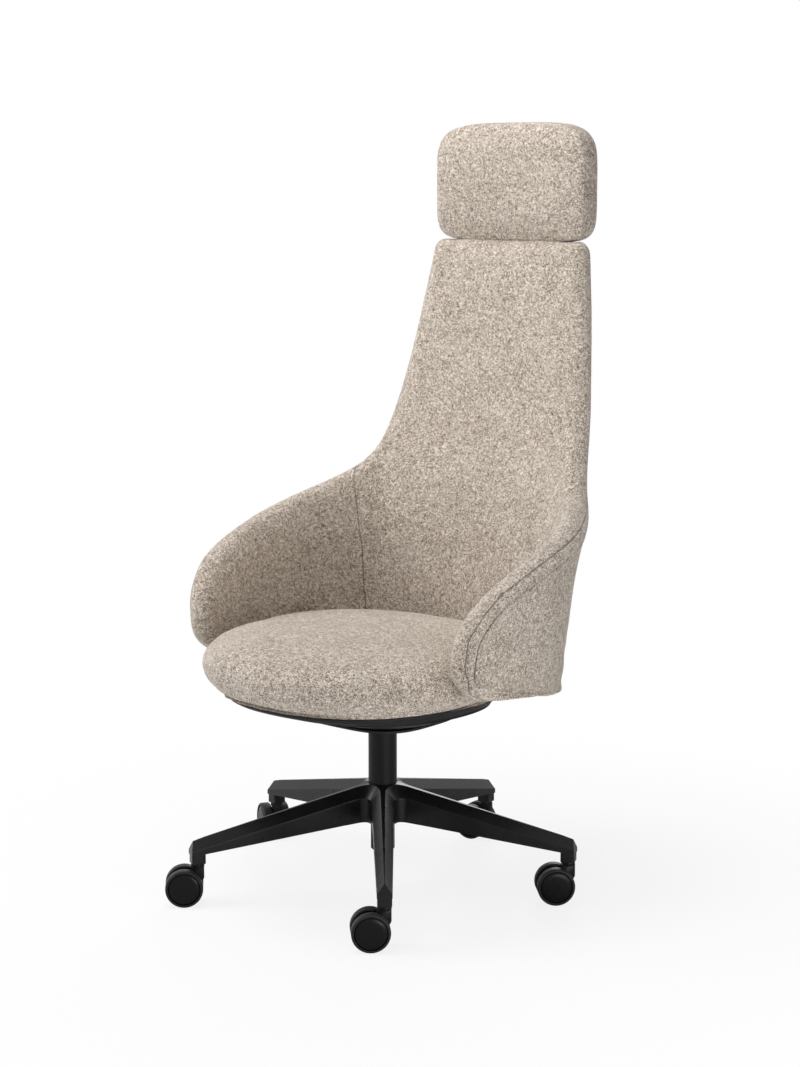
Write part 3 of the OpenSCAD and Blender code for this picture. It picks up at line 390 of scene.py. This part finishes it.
def makePlywood(name):
    z = plywoodLook
    material, tree, shader, coords = newMaterial(name)
    grain = noiseNode(tree, stretched(tree, coords, z["stretch"]), z["scale"], z["detail"],
                      z["grainRoughness"], z["twist"])
    tree.links.new(rampNode(tree, grain, z["stops"]), shader.inputs["Base Color"])
    tree.links.new(bumpNode(tree, grain, z["relief"], z["reliefDepth"]), shader.inputs["Normal"])
    shader.inputs["Roughness"].default_value = z["roughness"]
    return material


def makeSteel(name):
    z = steelLook
    material, tree, shader, coords = newMaterial(name)
    brush = noiseNode(tree, stretched(tree, coords, z["stretch"]), z["scale"], z["detail"],
                      z["grainRoughness"])
    tree.links.new(rangeNode(tree, brush, *z["grainRange"], *z["roughness"]), shader.inputs["Roughness"])
    stops = list(zip(z["grainRange"], z["tones"]))
    tree.links.new(rampNode(tree, brush, stops), shader.inputs["Base Color"])
    shader.inputs["Metallic"].default_value = 1.0
    return material


wool = makeWool("melangeWool")
basePaint = makeCoated("basePaint", (0.007, 0.007, 0.008), roughness=0.27, peel=0.12, dust=0.008,
                       coat=0.12, shine=0.16)
columnPaint = makeCoated("columnPaint", (0.010, 0.010, 0.011), roughness=0.38, peel=0.12, dust=0.008)
castorNylon = makeCoated("castorNylon", (0.006, 0.006, 0.007), roughness=0.27, peel=0.10, dust=0.006,
                         coat=0.03, shine=0.1)
castorTread = makeCoated("castorTread", (0.020, 0.020, 0.021), roughness=0.42, peel=0.18, dust=0.014)
trimPlastic = makeCoated("trimPlastic", (0.020, 0.020, 0.022), roughness=0.48, peel=0.22, dust=0.014,
                         scale=1400.0)
mechanismPaint = makeCoated("mechanismPaint", (0.022, 0.022, 0.024), roughness=0.5, peel=0.2, dust=0.014)
bushNylon = makeCoated("bushNylon", (0.024, 0.024, 0.026), roughness=0.5, peel=0.15, dust=0.012)
springRubber = makeCoated("springRubber", (0.015, 0.015, 0.015), roughness=0.7, peel=0.25, dust=0.02)
plywood = makePlywood("plywood")
steel = makeSteel("steel")
slotMaterials = {
    "base_paint": basePaint, "castor_nylon": castorNylon, "castor_tread": castorTread, "steel": steel,
    "column_paint": columnPaint, "bush_nylon": bushNylon, "mechanism_paint": mechanismPaint,
    "spring_rubber": springRubber, "trim_plastic": trimPlastic, "plywood": plywood, "wool": wool,
}
for entry in frame["record"]["subparts"]:
    mesh = frame["nodes"][entry["node"]].data
    mesh.materials.clear()
    mesh.materials.append(slotMaterials[entry["material_slot"]])
print("materials ready:", len(slotMaterials))

# Making pieces


def placePiece(mesh, material, body, cadNode, sharpAngle=None):
    mesh.materials.clear()
    mesh.materials.append(material)
    mesh.shade_smooth()
    if sharpAngle:
        mesh.set_sharp_from_angle(angle=math.radians(sharpAngle))
    piece = bpy.data.objects.new(mesh.name, mesh)
    scene.collection.objects.link(piece)
    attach(piece, body)
    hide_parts(cadNode)
    return piece


def finishPiece(bm, name, material, body, cadNode):
    mesh = bpy.data.meshes.new(name)
    bm.to_mesh(mesh)
    bm.free()
    return placePiece(mesh, material, body, cadNode, sharpAngle=32.0)


def bevelSharp(bm, degrees, offset):
    limit = math.radians(degrees)
    edges = [e for e in bm.edges if len(e.link_faces) == 2 and e.calc_face_angle(0.0) > limit]
    bmesh.ops.bevel(bm, geom=edges, offset=offset, segments=2, affect="EDGES",
                    profile=0.5, material=-1, clamp_overlap=True)


def joinBm(target, part):
    mesh = bpy.data.meshes.new("part")
    part.to_mesh(mesh)
    part.free()
    target.from_mesh(mesh)
    bpy.data.meshes.remove(mesh)


def turnAbout(bm, angle):
    bmesh.ops.rotate(bm, verts=bm.verts, cent=(0, 0, 0), matrix=Matrix.Rotation(angle, 3, "Z"))


def extrudeProfile(points, width):
    # a flat outline of (x, z) points drawn out along Y, centred
    bm = bmesh.new()
    face = bm.faces.new([bm.verts.new((x, -width / 2, z)) for x, z in points])
    drawn = bmesh.ops.extrude_face_region(bm, geom=[face])
    bmesh.ops.translate(bm, verts=[v for v in drawn["geom"] if isinstance(v, bmesh.types.BMVert)],
                        vec=(0, width, 0))
    bmesh.ops.recalc_face_normals(bm, faces=bm.faces)
    return bm


def spinProfile(points, steps):
    # a closed profile of (radius, along) points turned about the X axis
    bm = bmesh.new()
    verts = [bm.verts.new((along, radius, 0.0)) for radius, along in points]
    edges = [bm.edges.new((a, b)) for a, b in zip(verts, verts[1:] + verts[:1])]
    bmesh.ops.spin(bm, geom=verts + edges, cent=(0, 0, 0), axis=(1, 0, 0), angle=2 * math.pi, steps=steps,
                   use_merge=True)
    bmesh.ops.remove_doubles(bm, verts=bm.verts, dist=tiny)
    bmesh.ops.recalc_face_normals(bm, faces=bm.faces)
    return bm


# Star base

starSizes = {
    "arms": 5, "turn": -49.5,          # degrees from +X to the first arm
    "boreTop": 0.02502, "boreLow": 0.02302,
    "hubTop": 0.1865, "hubLow": 0.1230, "hubSteps": 8,
    "rootTop": 0.1862, "tipTop": 0.1120,
    "rootLow": 0.1233, "tipLow": 0.0870,
    "rootWidth": 0.0390, "tipWidth": 0.0255,
    "rootFlat": 0.0090, "tipFlat": 0.0012,
    "shoulderDrop": 0.0170, "shoulderFlare": 0.15,
    "rootAt": 0.030, "tipAt": 0.34775, "tipLean": 0.0045,
    "stations": (0.075, 0.12, 0.18, 0.24, 0.30, 0.3225),      # sections between the hub and the tip
    "wallFillet": 0.018, "topFillet": 0.0319,
    "hollowFrom": 0.06, "hollowWall": 0.003, "hollowDepth": 0.009,
    "postAt": 0.335, "postWidth": 0.0245, "postLow": 0.0726, "postTop": 0.0935,
    "postCorner": 0.004, "postRound": 0.0008,
    "weld": 2e-5, "edgeAngle": 24, "edgeRound": 0.0013,
}


def armValue(key, s):
    z = starSizes
    share = (s - z["rootAt"]) / (z["tipAt"] - z["rootAt"])
    return z["root" + key] + (z["tip" + key] - z["root" + key]) * share


def filletPoint(halfWidth, radius, share):
    # the outline between two arms, from the line halfway between them (0) to the arm's side (1)
    half = math.pi / starSizes["arms"]
    centre = Vector(((halfWidth + radius) / math.tan(half), halfWidth + radius))
    start = math.pi + half
    turn = start + (1.5 * math.pi - start) * share
    return centre + radius * Vector((math.cos(turn), math.sin(turn)))


def armSections():
    # half sections of one arm, each from its top's middle to its underside's middle
    z = starSizes
    half = math.pi / z["arms"]
    rows = []
    for i in range(z["hubSteps"] + 1):
        share = i / z["hubSteps"]
        wall = filletPoint(z["rootWidth"] / 2, z["wallFillet"], share)
        ridge = filletPoint(z["rootFlat"] / 2, z["topFillet"], share)
        spoke = half * (1 - share)
        drop = z["shoulderDrop"] * (1.0 + z["shoulderFlare"] * (1 - share))
        rows.append([
            (z["boreTop"] * math.cos(spoke), z["boreTop"] * math.sin(spoke), z["hubTop"]),
            (ridge.x, ridge.y, armValue("Top", ridge.x)),
            (wall.x, wall.y, armValue("Top", wall.x) - drop),
            (wall.x, wall.y, armValue("Low", wall.x)),
            (z["boreLow"] * math.cos(spoke), z["boreLow"] * math.sin(spoke), z["hubLow"]),
        ])
    for s in z["stations"] + (z["tipAt"],):
        lean = z["tipLean"] if s == z["tipAt"] else 0.0
        top, low, side = armValue("Top", s), armValue("Low", s), armValue("Width", s) / 2
        rows.append([
            (s - lean, 0.0, top), (s - lean, armValue("Flat", s) / 2, top),
            (s, side, top - z["shoulderDrop"]), (s, side, low), (s, 0.0, low),
        ])
    return rows


def buildPost():
    # the upright boss in an arm's tip that holds a castor's stem
    z = starSizes
    post = bmesh.new()
    bmesh.ops.create_cube(post, size=1.0)
    height = z["postTop"] - z["postLow"]
    bmesh.ops.scale(post, vec=(z["postWidth"], z["postWidth"], height), verts=post.verts)
    upright = [e for e in post.edges if abs(e.verts[0].co.z - e.verts[1].co.z) > height / 2]
    bmesh.ops.bevel(post, geom=upright, offset=z["postCorner"], segments=4, affect="EDGES", profile=0.5,
                    material=-1)
    bevelSharp(post, 60, z["postRound"])
    bmesh.ops.translate(post, verts=post.verts, vec=(z["postAt"], 0, z["postLow"] + height / 2))
    return post


def buildStarBase():
    z = starSizes
    rows = armSections()
    across, along = len(rows[0]) - 1, len(rows) - 1
    bm = bmesh.new()
    bmesh.ops.create_grid(bm, x_segments=across, y_segments=along, size=1.0)
    for v in bm.verts:
        v.co = rows[round((v.co.y + 1) / 2 * along)][round((v.co.x + 1) / 2 * across)]
    bmesh.ops.mirror(bm, geom=bm.verts[:] + bm.edges[:] + bm.faces[:], axis="Y", merge_dist=tiny)
    tip = [e for e in bm.edges if e.is_boundary and all(v.co.x > z["tipAt"] - 0.01 for v in e.verts)]
    bmesh.ops.contextual_create(bm, geom=tip)
    step = 2 * math.pi / z["arms"]
    bmesh.ops.spin(bm, geom=bm.verts[:] + bm.edges[:] + bm.faces[:], cent=(0, 0, 0), axis=(0, 0, 1),
                   angle=step * (z["arms"] - 1), steps=z["arms"] - 1, use_duplicate=True)
    bmesh.ops.remove_doubles(bm, verts=bm.verts, dist=z["weld"])
    bmesh.ops.bridge_loops(bm, edges=[e for e in bm.edges if e.is_boundary])
    bmesh.ops.recalc_face_normals(bm, faces=bm.faces)
    hollows = [f for f in bm.faces
               if f.normal.z < -0.9 and f.calc_center_median().xy.length > z["hollowFrom"]]
    bmesh.ops.inset_region(bm, faces=hollows, thickness=z["hollowWall"], use_boundary=True)
    bmesh.ops.translate(bm, verts=list({v for f in hollows for v in f.verts}), vec=(0, 0, z["hollowDepth"]))
    bevelSharp(bm, z["edgeAngle"], z["edgeRound"])
    for k in range(z["arms"]):
        post = buildPost()
        turnAbout(post, step * k)
        joinBm(bm, post)
    turnAbout(bm, math.radians(z["turn"]))
    piece = finishPiece(bm, "starBase", basePaint, "base", "base_star")
    piece.modifiers.new("flatFaces", "WEIGHTED_NORMAL").keep_sharp = True


buildStarBase()
print("star base ready")

# Castors

castorSizes = {
    "stemCircle": 0.335, "turns": [224, 224, 185, 148, 224],
    "trail": 0.0234, "axleHeight": 0.0325, "wheel": 0.0325, "tread": 0.004,
    "gap": 0.0075, "width": 0.0174, "disc": 0.0263, "turnSteps": 72,
    # the wheel's section: steps from its core and inner face, then from its disc and outer face
    "bore": 0.0031, "hubDepth": 0.0154,
    "coreRim": [(-0.0040, 0.0), (-0.0005, 0.0010), (0.0, 0.0030)], "rimStep": 0.0022,
    "discRim": [(0.0012, -0.0013), (0.0005, -0.0030), (0.0, -0.0014), (-0.0012, -0.0006)],
    "dome": [(0.018, -0.0002), (0.009, 0.0), (0.0, 0.0001)],      # radius, and step from the outer face
    # the tread's section: steps from the core and the near face, and its two roundings
    "treadStart": [(0.0001, 0.0006), (0.0010, 0.0)], "treadEnd": [(-0.0004, -0.0002), (0.0001, -0.0020)],
    "innerRound": 0.0024, "outerRound": 0.0032,
    "body": 0.014, "bodyRound": 0.0012,
    "neckTop": 0.0705, "neckLow": 0.0475, "neckInset": 0.0006,
    "bodySide": [(0.0072, 0.0400), (0.0020, 0.0305), (-0.0050, 0.0245), (-0.0150, 0.0222),
                 (-0.0234, 0.0222), (-0.0320, 0.0262), (-0.0336, 0.0340), (-0.0300, 0.0405),
                 (-0.0234, 0.0432), (-0.0180, 0.0500), (-0.0130, 0.0600)],
    "top": 0.0723, "collar": 0.0115, "collarHeight": 0.0064, "collarRound": 0.0006,
}


def castorMatrix(k):
    spoke = math.radians(starSizes["turn"] + 360 / starSizes["arms"] * k)
    place = Matrix.Translation((castorSizes["stemCircle"] * math.cos(spoke),
                                castorSizes["stemCircle"] * math.sin(spoke), 0))
    return place @ Matrix.Rotation(math.radians(castorSizes["turns"][k] + 180), 4, "Z")


def wheelProfile():
    # radius and distance from the castor's middle, of the nylon wheel with its domed disc
    z = castorSizes
    core, low, far = z["wheel"] - z["tread"], z["gap"], z["gap"] + z["width"]
    hub = low + z["hubDepth"]
    return ([(z["bore"], low)] + [(core + out, low + along) for out, along in z["coreRim"]]
            + [(core, far - z["rimStep"])] + [(z["disc"] + out, far + along) for out, along in z["discRim"]]
            + [(radius, far + along) for radius, along in z["dome"]] + [(0.0, hub), (z["bore"], hub)])


def quarterTurn(steps):
    return [math.pi / 2 * i / steps for i in range(steps + 1)]


def treadProfile():
    z = castorSizes
    core, low, far = z["wheel"] - z["tread"], z["gap"], z["gap"] + z["width"]
    points = [(core + out, low + along) for out, along in z["treadStart"]]
    r = z["innerRound"]
    points += [(z["wheel"] - r + r * math.sin(t), low + r - r * math.cos(t)) for t in quarterTurn(4)]
    r = z["outerRound"]
    points += [(z["wheel"] - r + r * math.cos(t), far - r + r * math.sin(t)) for t in quarterTurn(5)]
    return points + [(core + out, far + along) for out, along in z["treadEnd"]]


def buildWheel(profile, side, k):
    z = castorSizes
    bm = spinProfile(profile, z["turnSteps"])
    turnAbout(bm, side * math.pi / 2)
    bmesh.ops.translate(bm, verts=bm.verts, vec=(-z["trail"], 0, z["axleHeight"]))
    bmesh.ops.transform(bm, matrix=castorMatrix(k), verts=bm.verts)
    return bm


def buildCastorBody(k):
    z = castorSizes
    neck, front = z["collar"], z["collar"] - z["neckInset"]
    outline = [(-neck, z["neckTop"]), (front, z["neckTop"]), (front, z["neckLow"])] + z["bodySide"]
    bm = extrudeProfile(outline, z["body"])
    bevelSharp(bm, 30, z["bodyRound"])
    collar = bmesh.new()
    bmesh.ops.create_cone(collar, cap_ends=True, segments=48, radius1=neck, radius2=neck,
                          depth=z["collarHeight"])
    bmesh.ops.translate(collar, verts=collar.verts, vec=(0, 0, z["top"] - z["collarHeight"] / 2))
    bevelSharp(collar, 60, z["collarRound"])
    joinBm(bm, collar)
    bmesh.ops.transform(bm, matrix=castorMatrix(k), verts=bm.verts)
    return bm


for k in range(starSizes["arms"]):
    castor = f"castor_{k + 1}"
    finishPiece(buildCastorBody(k), f"castorBody{k + 1}", castorNylon, castor,
                f"{castor}_housing")
    for side, word in ((1, "left"), (-1, "right")):
        finishPiece(buildWheel(wheelProfile(), side, k), f"wheel{k + 1}{word.title()}", castorNylon,
                    f"{castor}_{word}", f"{castor}_wheel_{word}")
        finishPiece(buildWheel(treadProfile(), side, k), f"tread{k + 1}{word.title()}", castorTread,
                    f"{castor}_{word}", f"{castor}_tread_{word}")
print("castors ready")

# Upholstery

softSizes = {
    "weld": 0.00002, "levels": 2, "fitRounds": 3, "fitStep": 0.85,
    "swellFrames": 20, "pressure": 4.0, "quality": 4,
    "dent": 0.0010, "dentReach": 0.0045,
    "edgeReach": 0.0065, "edgeFull": 0.0024,
    "settle": 0.0022, "settleReach": 0.028,
    "noSeam": 0.05,                     # a seam distance at which no seam is drawn
}


def cadCage(node):
    bm = bmesh.new()
    bm.from_mesh(frame["nodes"][node].data)
    bmesh.ops.remove_doubles(bm, verts=bm.verts, dist=softSizes["weld"])
    bmesh.ops.join_triangles(bm, faces=bm.faces, angle_face_threshold=math.pi,
                             angle_shape_threshold=math.pi)
    return bm


def evaluated(piece):
    return piece.evaluated_get(bpy.context.evaluated_depsgraph_get())


def roundedMesh(name, bm):
    # a subdivision surface that still passes through the points of its cage
    cage = bpy.data.meshes.new(name + "Cage")
    bm.to_mesh(cage)
    bm.free()
    holder = bpy.data.objects.new(name + "Cage", cage)
    scene.collection.objects.link(holder)
    rounding = holder.modifiers.new("rounding", "SUBSURF")
    rounding.levels = rounding.render_levels = 1
    rounding.use_limit_surface = True
    goals = [v.co.copy() for v in cage.vertices]
    for _ in range(softSizes["fitRounds"]):
        steps = [goal - v.co for goal, v in zip(goals, evaluated(holder).data.vertices)]
        for v, step in zip(cage.vertices, steps):
            v.co += softSizes["fitStep"] * step
        cage.update()
    rounding.levels = rounding.render_levels = softSizes["levels"]
    holder.update_tag()
    result = bpy.data.meshes.new_from_object(evaluated(holder))
    bpy.data.objects.remove(holder)
    bpy.data.meshes.remove(cage)
    result.name = name
    return result


def swell(mesh, held, cap):
    # cloth under a little air pressure, sewn down where held is true; no point moves further than cap
    piece = bpy.data.objects.new("swelling", mesh)
    scene.collection.objects.link(piece)
    group = piece.vertex_groups.new(name="held")
    group.add([v.index for v in mesh.vertices if held(v)], 1.0, "REPLACE")
    cloth = piece.modifiers.new("cloth", "CLOTH")
    cloth.settings.use_pressure = True
    cloth.settings.uniform_pressure_force = softSizes["pressure"]
    cloth.settings.effector_weights.gravity = 0.0
    cloth.settings.vertex_group_mass = "held"
    cloth.settings.quality = softSizes["quality"]
    cloth.point_cache.frame_end = softSizes["swellFrames"]
    for f in range(1, softSizes["swellFrames"] + 1):
        scene.frame_set(f)
    steps = [at.co - v.co for at, v in zip(evaluated(piece).data.vertices, mesh.vertices)]
    furthest = max(step.length for step in steps)
    for v, step in zip(mesh.vertices, steps):
        if step.length > 0.0:
            v.co += step * (cap * math.tanh(step.length / cap) / step.length)
    scene.frame_set(1)
    bpy.data.objects.remove(piece)
    mesh.update()
    print("swelled", mesh.name, "furthest", round(furthest, 4))


def pushOut(mesh, amounts):
    # each point moves along its own normal by its own amount
    normals = [v.normal.copy() for v in mesh.vertices]
    for v, normal, amount in zip(mesh.vertices, normals, amounts):
        v.co += normal * amount
    mesh.update()


def sink(mesh, gaps):
    # the cloth is drawn in along its seams
    pushOut(mesh, [-softSizes["dent"] * math.exp(-(gap / softSizes["dentReach"]) ** 2) for gap in gaps])


def fillEdge(mesh, near):
    # two cloths meet at an edge with no open gap between them
    full, reach = softSizes["edgeFull"], softSizes["edgeReach"]
    pushOut(mesh, [full * max(0.0, 1.0 - find[2] / reach) for find in near])


def settle(mesh, level, way):
    # the headrest and the back's top edge yield to each other around this level
    for v in mesh.vertices:
        share = max(0.0, 1.0 - abs(v.co.z - level) / softSizes["settleReach"])
        v.co.z += way * softSizes["settle"] * share * share * (3.0 - 2.0 * share)
    mesh.update()


def markSeam(mesh, gaps=None, runs=None):
    # distance from the nearest seam and along it, for the shader; without them no seam is drawn
    gaps = gaps or [softSizes["noSeam"]] * len(mesh.vertices)
    runs = runs or [0.0] * len(mesh.vertices)
    for name, values in (("seamGap", gaps), ("seamRun", runs)):
        layer = mesh.attributes.new(name, "FLOAT", "POINT")
        layer.data.foreach_set("value", values)


def finishSoft(mesh, body, cadNode):
    piece = placePiece(mesh, wool, body, cadNode)
    finer = piece.modifiers.new("finer", "SUBSURF")
    finer.levels = finer.render_levels = 1


# Seat cushion

cushionSizes = {
    "seam": 0.0092,                     # above the underside
    "hold": 0.004, "swell": 0.004, "fill": 0.9,
    "seamRound": 0.23, "centreY": -0.037,
}


def buildSeatCushion():
    z = cushionSizes
    mesh = roundedMesh("seatCushion", cadCage("seat_cushion"))
    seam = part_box("seat_cushion")[0][2] + z["seam"]
    swell(mesh, lambda v: v.co.z < seam + z["hold"], z["swell"])
    markSeam(mesh, [v.co.z - seam for v in mesh.vertices],
             [z["seamRound"] * math.atan2(v.co.y - z["centreY"], v.co.x) for v in mesh.vertices])
    finishSoft(mesh, "seat", "seat_cushion")


# Back

backSizes = {
    # height and half distance of the two seams inside the back, in metres
    "weltAt": [(0.40, 0.1830), (0.4436, 0.1875), (0.4781, 0.1918), (0.5540, 0.2013), (0.6200, 0.2170),
               (0.6802, 0.2354), (0.7200, 0.2520), (1.2000, 0.6000)],
    "weltLean": 0.35,                   # the least slope that counts where the rim turns away
    "rimSeam": 0.0235,                  # from the rear panel's edge, on the rim's round
    "edgeAngle": 45, "edgeFacing": 0.6, "edgeStep": 0.002,
    "weltHold": 0.011, "padHold": 0.035, "coverHold": 0.012,
    "padSwell": 0.004, "coverSwell": 0.003,
    "padFill": 0.85, "coverFill": 0.8, "topSettle": 0.5,
}


def readCurve(points, at):
    for (x0, y0), (x1, y1) in zip(points, points[1:]):
        if at <= x1:
            return y0 + (y1 - y0) * (at - x0) / (x1 - x0)
    return points[-1][1]


def weltGap(v):
    # distance along the surface from the nearer inside seam, negative between the two
    lean = max(backSizes["weltLean"], abs(v.normal.y) / max(tiny, v.normal.xy.length))
    return (abs(v.co.x) - readCurve(backSizes["weltAt"], v.co.z)) / lean


def edgeChains(bm):
    # the rear panel's outer side edges, as close points with their distance along each run
    z = backSizes

    def outer(e):
        if len(e.link_faces) != 2 or e.calc_face_angle(0.0) < math.radians(z["edgeAngle"]):
            return False
        mid = (e.verts[0].co + e.verts[1].co) / 2
        way = Vector((mid.x, mid.y, 0.0)).normalized()
        return max(f.normal.dot(way) for f in e.link_faces) > z["edgeFacing"]

    points = []

    def addEdge(begin, end, run):
        length = (end - begin).length
        steps = max(1, round(length / z["edgeStep"]))
        points.extend((begin.lerp(end, k / steps), run + length * k / steps) for k in range(steps))
        return run + length

    edges = [e for e in bm.edges if outer(e)]
    while edges:
        first = edges.pop(0)
        addEdge(first.verts[1].co, first.verts[0].co, -first.calc_length())
        for at in first.verts:
            run = 0.0
            ahead = [e for e in at.link_edges if e in edges]
            while ahead:
                edges.remove(ahead[0])
                other = ahead[0].other_vert(at)
                run = addEdge(at.co, other.co, run)
                at = other
                ahead = [e for e in at.link_edges if e in edges]
    tree = kdtree.KDTree(len(points))
    for index, (place, run) in enumerate(points):
        tree.insert(place, index)
    tree.balance()
    return tree, points


def buildPad(tree, points):
    z = backSizes
    pad = roundedMesh("backPad", cadCage("back_pad"))
    near = [tree.find(v.co) for v in pad.vertices]

    def held(v):
        rearSide = v.normal.xy.dot(v.co.xy) > 0.0
        return rearSide or abs(weltGap(v)) < z["weltHold"] or near[v.index][2] < z["padHold"]

    swell(pad, held, z["padSwell"])
    fillEdge(pad, near)
    settle(pad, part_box("back_pad")[1][2], z["topSettle"])
    welts = [weltGap(v) for v in pad.vertices]
    rims = [find[2] - z["rimSeam"] for find in near]
    gaps = [min(pair) for pair in zip(welts, rims)]
    sink(pad, gaps)
    markSeam(pad, gaps, [v.co.z if welt < rim else points[find[1]][1]
                         for v, welt, rim, find in zip(pad.vertices, welts, rims, near)])
    finishSoft(pad, "seat", "back_pad")


def buildCover(cage, tree):
    z = backSizes
    cover = roundedMesh("backCover", cage)
    near = [tree.find(v.co) for v in cover.vertices]

    def held(v):
        return v.normal.xy.dot(v.co.xy) < 0.0 or near[v.index][2] < z["coverHold"]

    swell(cover, held, z["coverSwell"])
    fillEdge(cover, near)
    markSeam(cover)
    finishSoft(cover, "seat", "back_cover")


def buildBack():
    cage = cadCage("back_cover")
    cage.normal_update()
    tree, points = edgeChains(cage)
    buildPad(tree, points)
    buildCover(cage, tree)


# Headrest

headrestSizes = {
    "seam": 0.0490, "seamBow": 0.010,       # ahead of the rear, and how far its ends come forward
    "rear": 0.02, "hold": 0.005, "swell": 0.004,
    "headPower": 4.5, "footPower": 7.5, "footFull": 0.5,   # roundness of the outline's upper and lower half
    "fill": 0.85, "lidFill": 0.7,
}


def cornerReach(x, z, power):
    return (x ** power + z ** power) ** (1 / power)


def squareFoot(mesh, low, high):
    # the headrest's lower corners are tighter than its upper ones
    middle, size = (low + high) / 2, (high - low) / 2
    for v in mesh.vertices:
        x, z = abs(v.co.x - middle.x) / size.x, (middle.z - v.co.z) / size.z
        if z <= 0.0 or x < tiny:
            continue
        reach = cornerReach(x, z, headrestSizes["headPower"])
        square = cornerReach(x, z, headrestSizes["footPower"])
        share = min(1.0, reach) ** 2 * min(1.0, z / headrestSizes["footFull"])
        grow = 1.0 + (reach / square - 1.0) * share
        v.co.x = middle.x + (v.co.x - middle.x) * grow
        v.co.z = middle.z + (v.co.z - middle.z) * grow
    mesh.update()


def buildHeadrest():
    z = headrestSizes
    mesh = roundedMesh("headrestCushion", cadCage("headrest_cushion"))
    low, high = (Vector(end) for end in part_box("headrest_cushion"))
    squareFoot(mesh, low, high)
    seam, rear, half = high.y - z["seam"], high.y - z["rear"], (high.x - low.x) / 2

    def gap(v):
        return v.co.y + z["seamBow"] * (v.co.x / half) ** 2 - seam

    swell(mesh, lambda v: v.co.y > rear or abs(gap(v)) < z["hold"], z["swell"])
    sink(mesh, [gap(v) for v in mesh.vertices])
    settle(mesh, low.z, -1.0)
    lid = roundedMesh("headrestCover", cadCage("headrest_cover"))
    for part, node, fill in ((mesh, "headrest_cushion", z["fill"]), (lid, "headrest_cover", z["lidFill"])):
        markSeam(part)
        finishSoft(part, "headrest", node)


buildSeatCushion()
buildBack()
buildHeadrest()
placePiece(roundedMesh("seatPanShell", cadCage("seat_pan")), trimPlastic, "seat",
           "seat_pan", sharpAngle=35.0)
print("upholstery ready")

# Floor

floorLook = {
    "half": 12.0, "roughness": 0.6, "shine": 0.1,
    "mottleScale": 3.0, "tones": [(0.0, (0.90, 0.90, 0.90, 1.0)), (1.0, (0.92, 0.92, 0.92, 1.0))],
    "fadeReach": (0.35, 1.3), "fadeShare": (0.84, 1.0),      # white at these distances, in metres
}


def buildFloor():
    z = floorLook
    bm = bmesh.new()
    bmesh.ops.create_grid(bm, x_segments=1, y_segments=1, size=z["half"])
    mesh = bpy.data.meshes.new("floor")
    bm.to_mesh(mesh)
    bm.free()
    floor = bpy.data.objects.new("floor", mesh)
    scene.collection.objects.link(floor)
    material, tree, shader, coords = newMaterial("paleFloor")
    setInputs(shader, {"Roughness": z["roughness"], "Specular IOR Level": z["shine"]})
    mottle = noiseNode(tree, coords, z["mottleScale"])
    tree.links.new(rampNode(tree, mottle, z["tones"]), shader.inputs["Base Color"])
    # the plane fades into the white background away from the chair
    white = tree.nodes.new("ShaderNodeEmission")
    path = tree.nodes.new("ShaderNodeLightPath")
    reach = tree.nodes.new("ShaderNodeVectorMath")
    reach.operation = "LENGTH"
    tree.links.new(coords, reach.inputs[0])
    fade = rangeNode(tree, reach.outputs["Value"], *z["fadeReach"], *z["fadeShare"])
    mix = tree.nodes.new("ShaderNodeMixShader")
    tree.links.new(mathNode(tree, "MULTIPLY", fade, path.outputs["Is Camera Ray"]), mix.inputs["Fac"])
    tree.links.new(shader.outputs[0], mix.inputs[1])
    tree.links.new(white.outputs[0], mix.inputs[2])
    tree.links.new(mix.outputs[0], tree.nodes["Material Output"].inputs["Surface"])
    mesh.materials.append(material)


buildFloor()
print("floor ready")
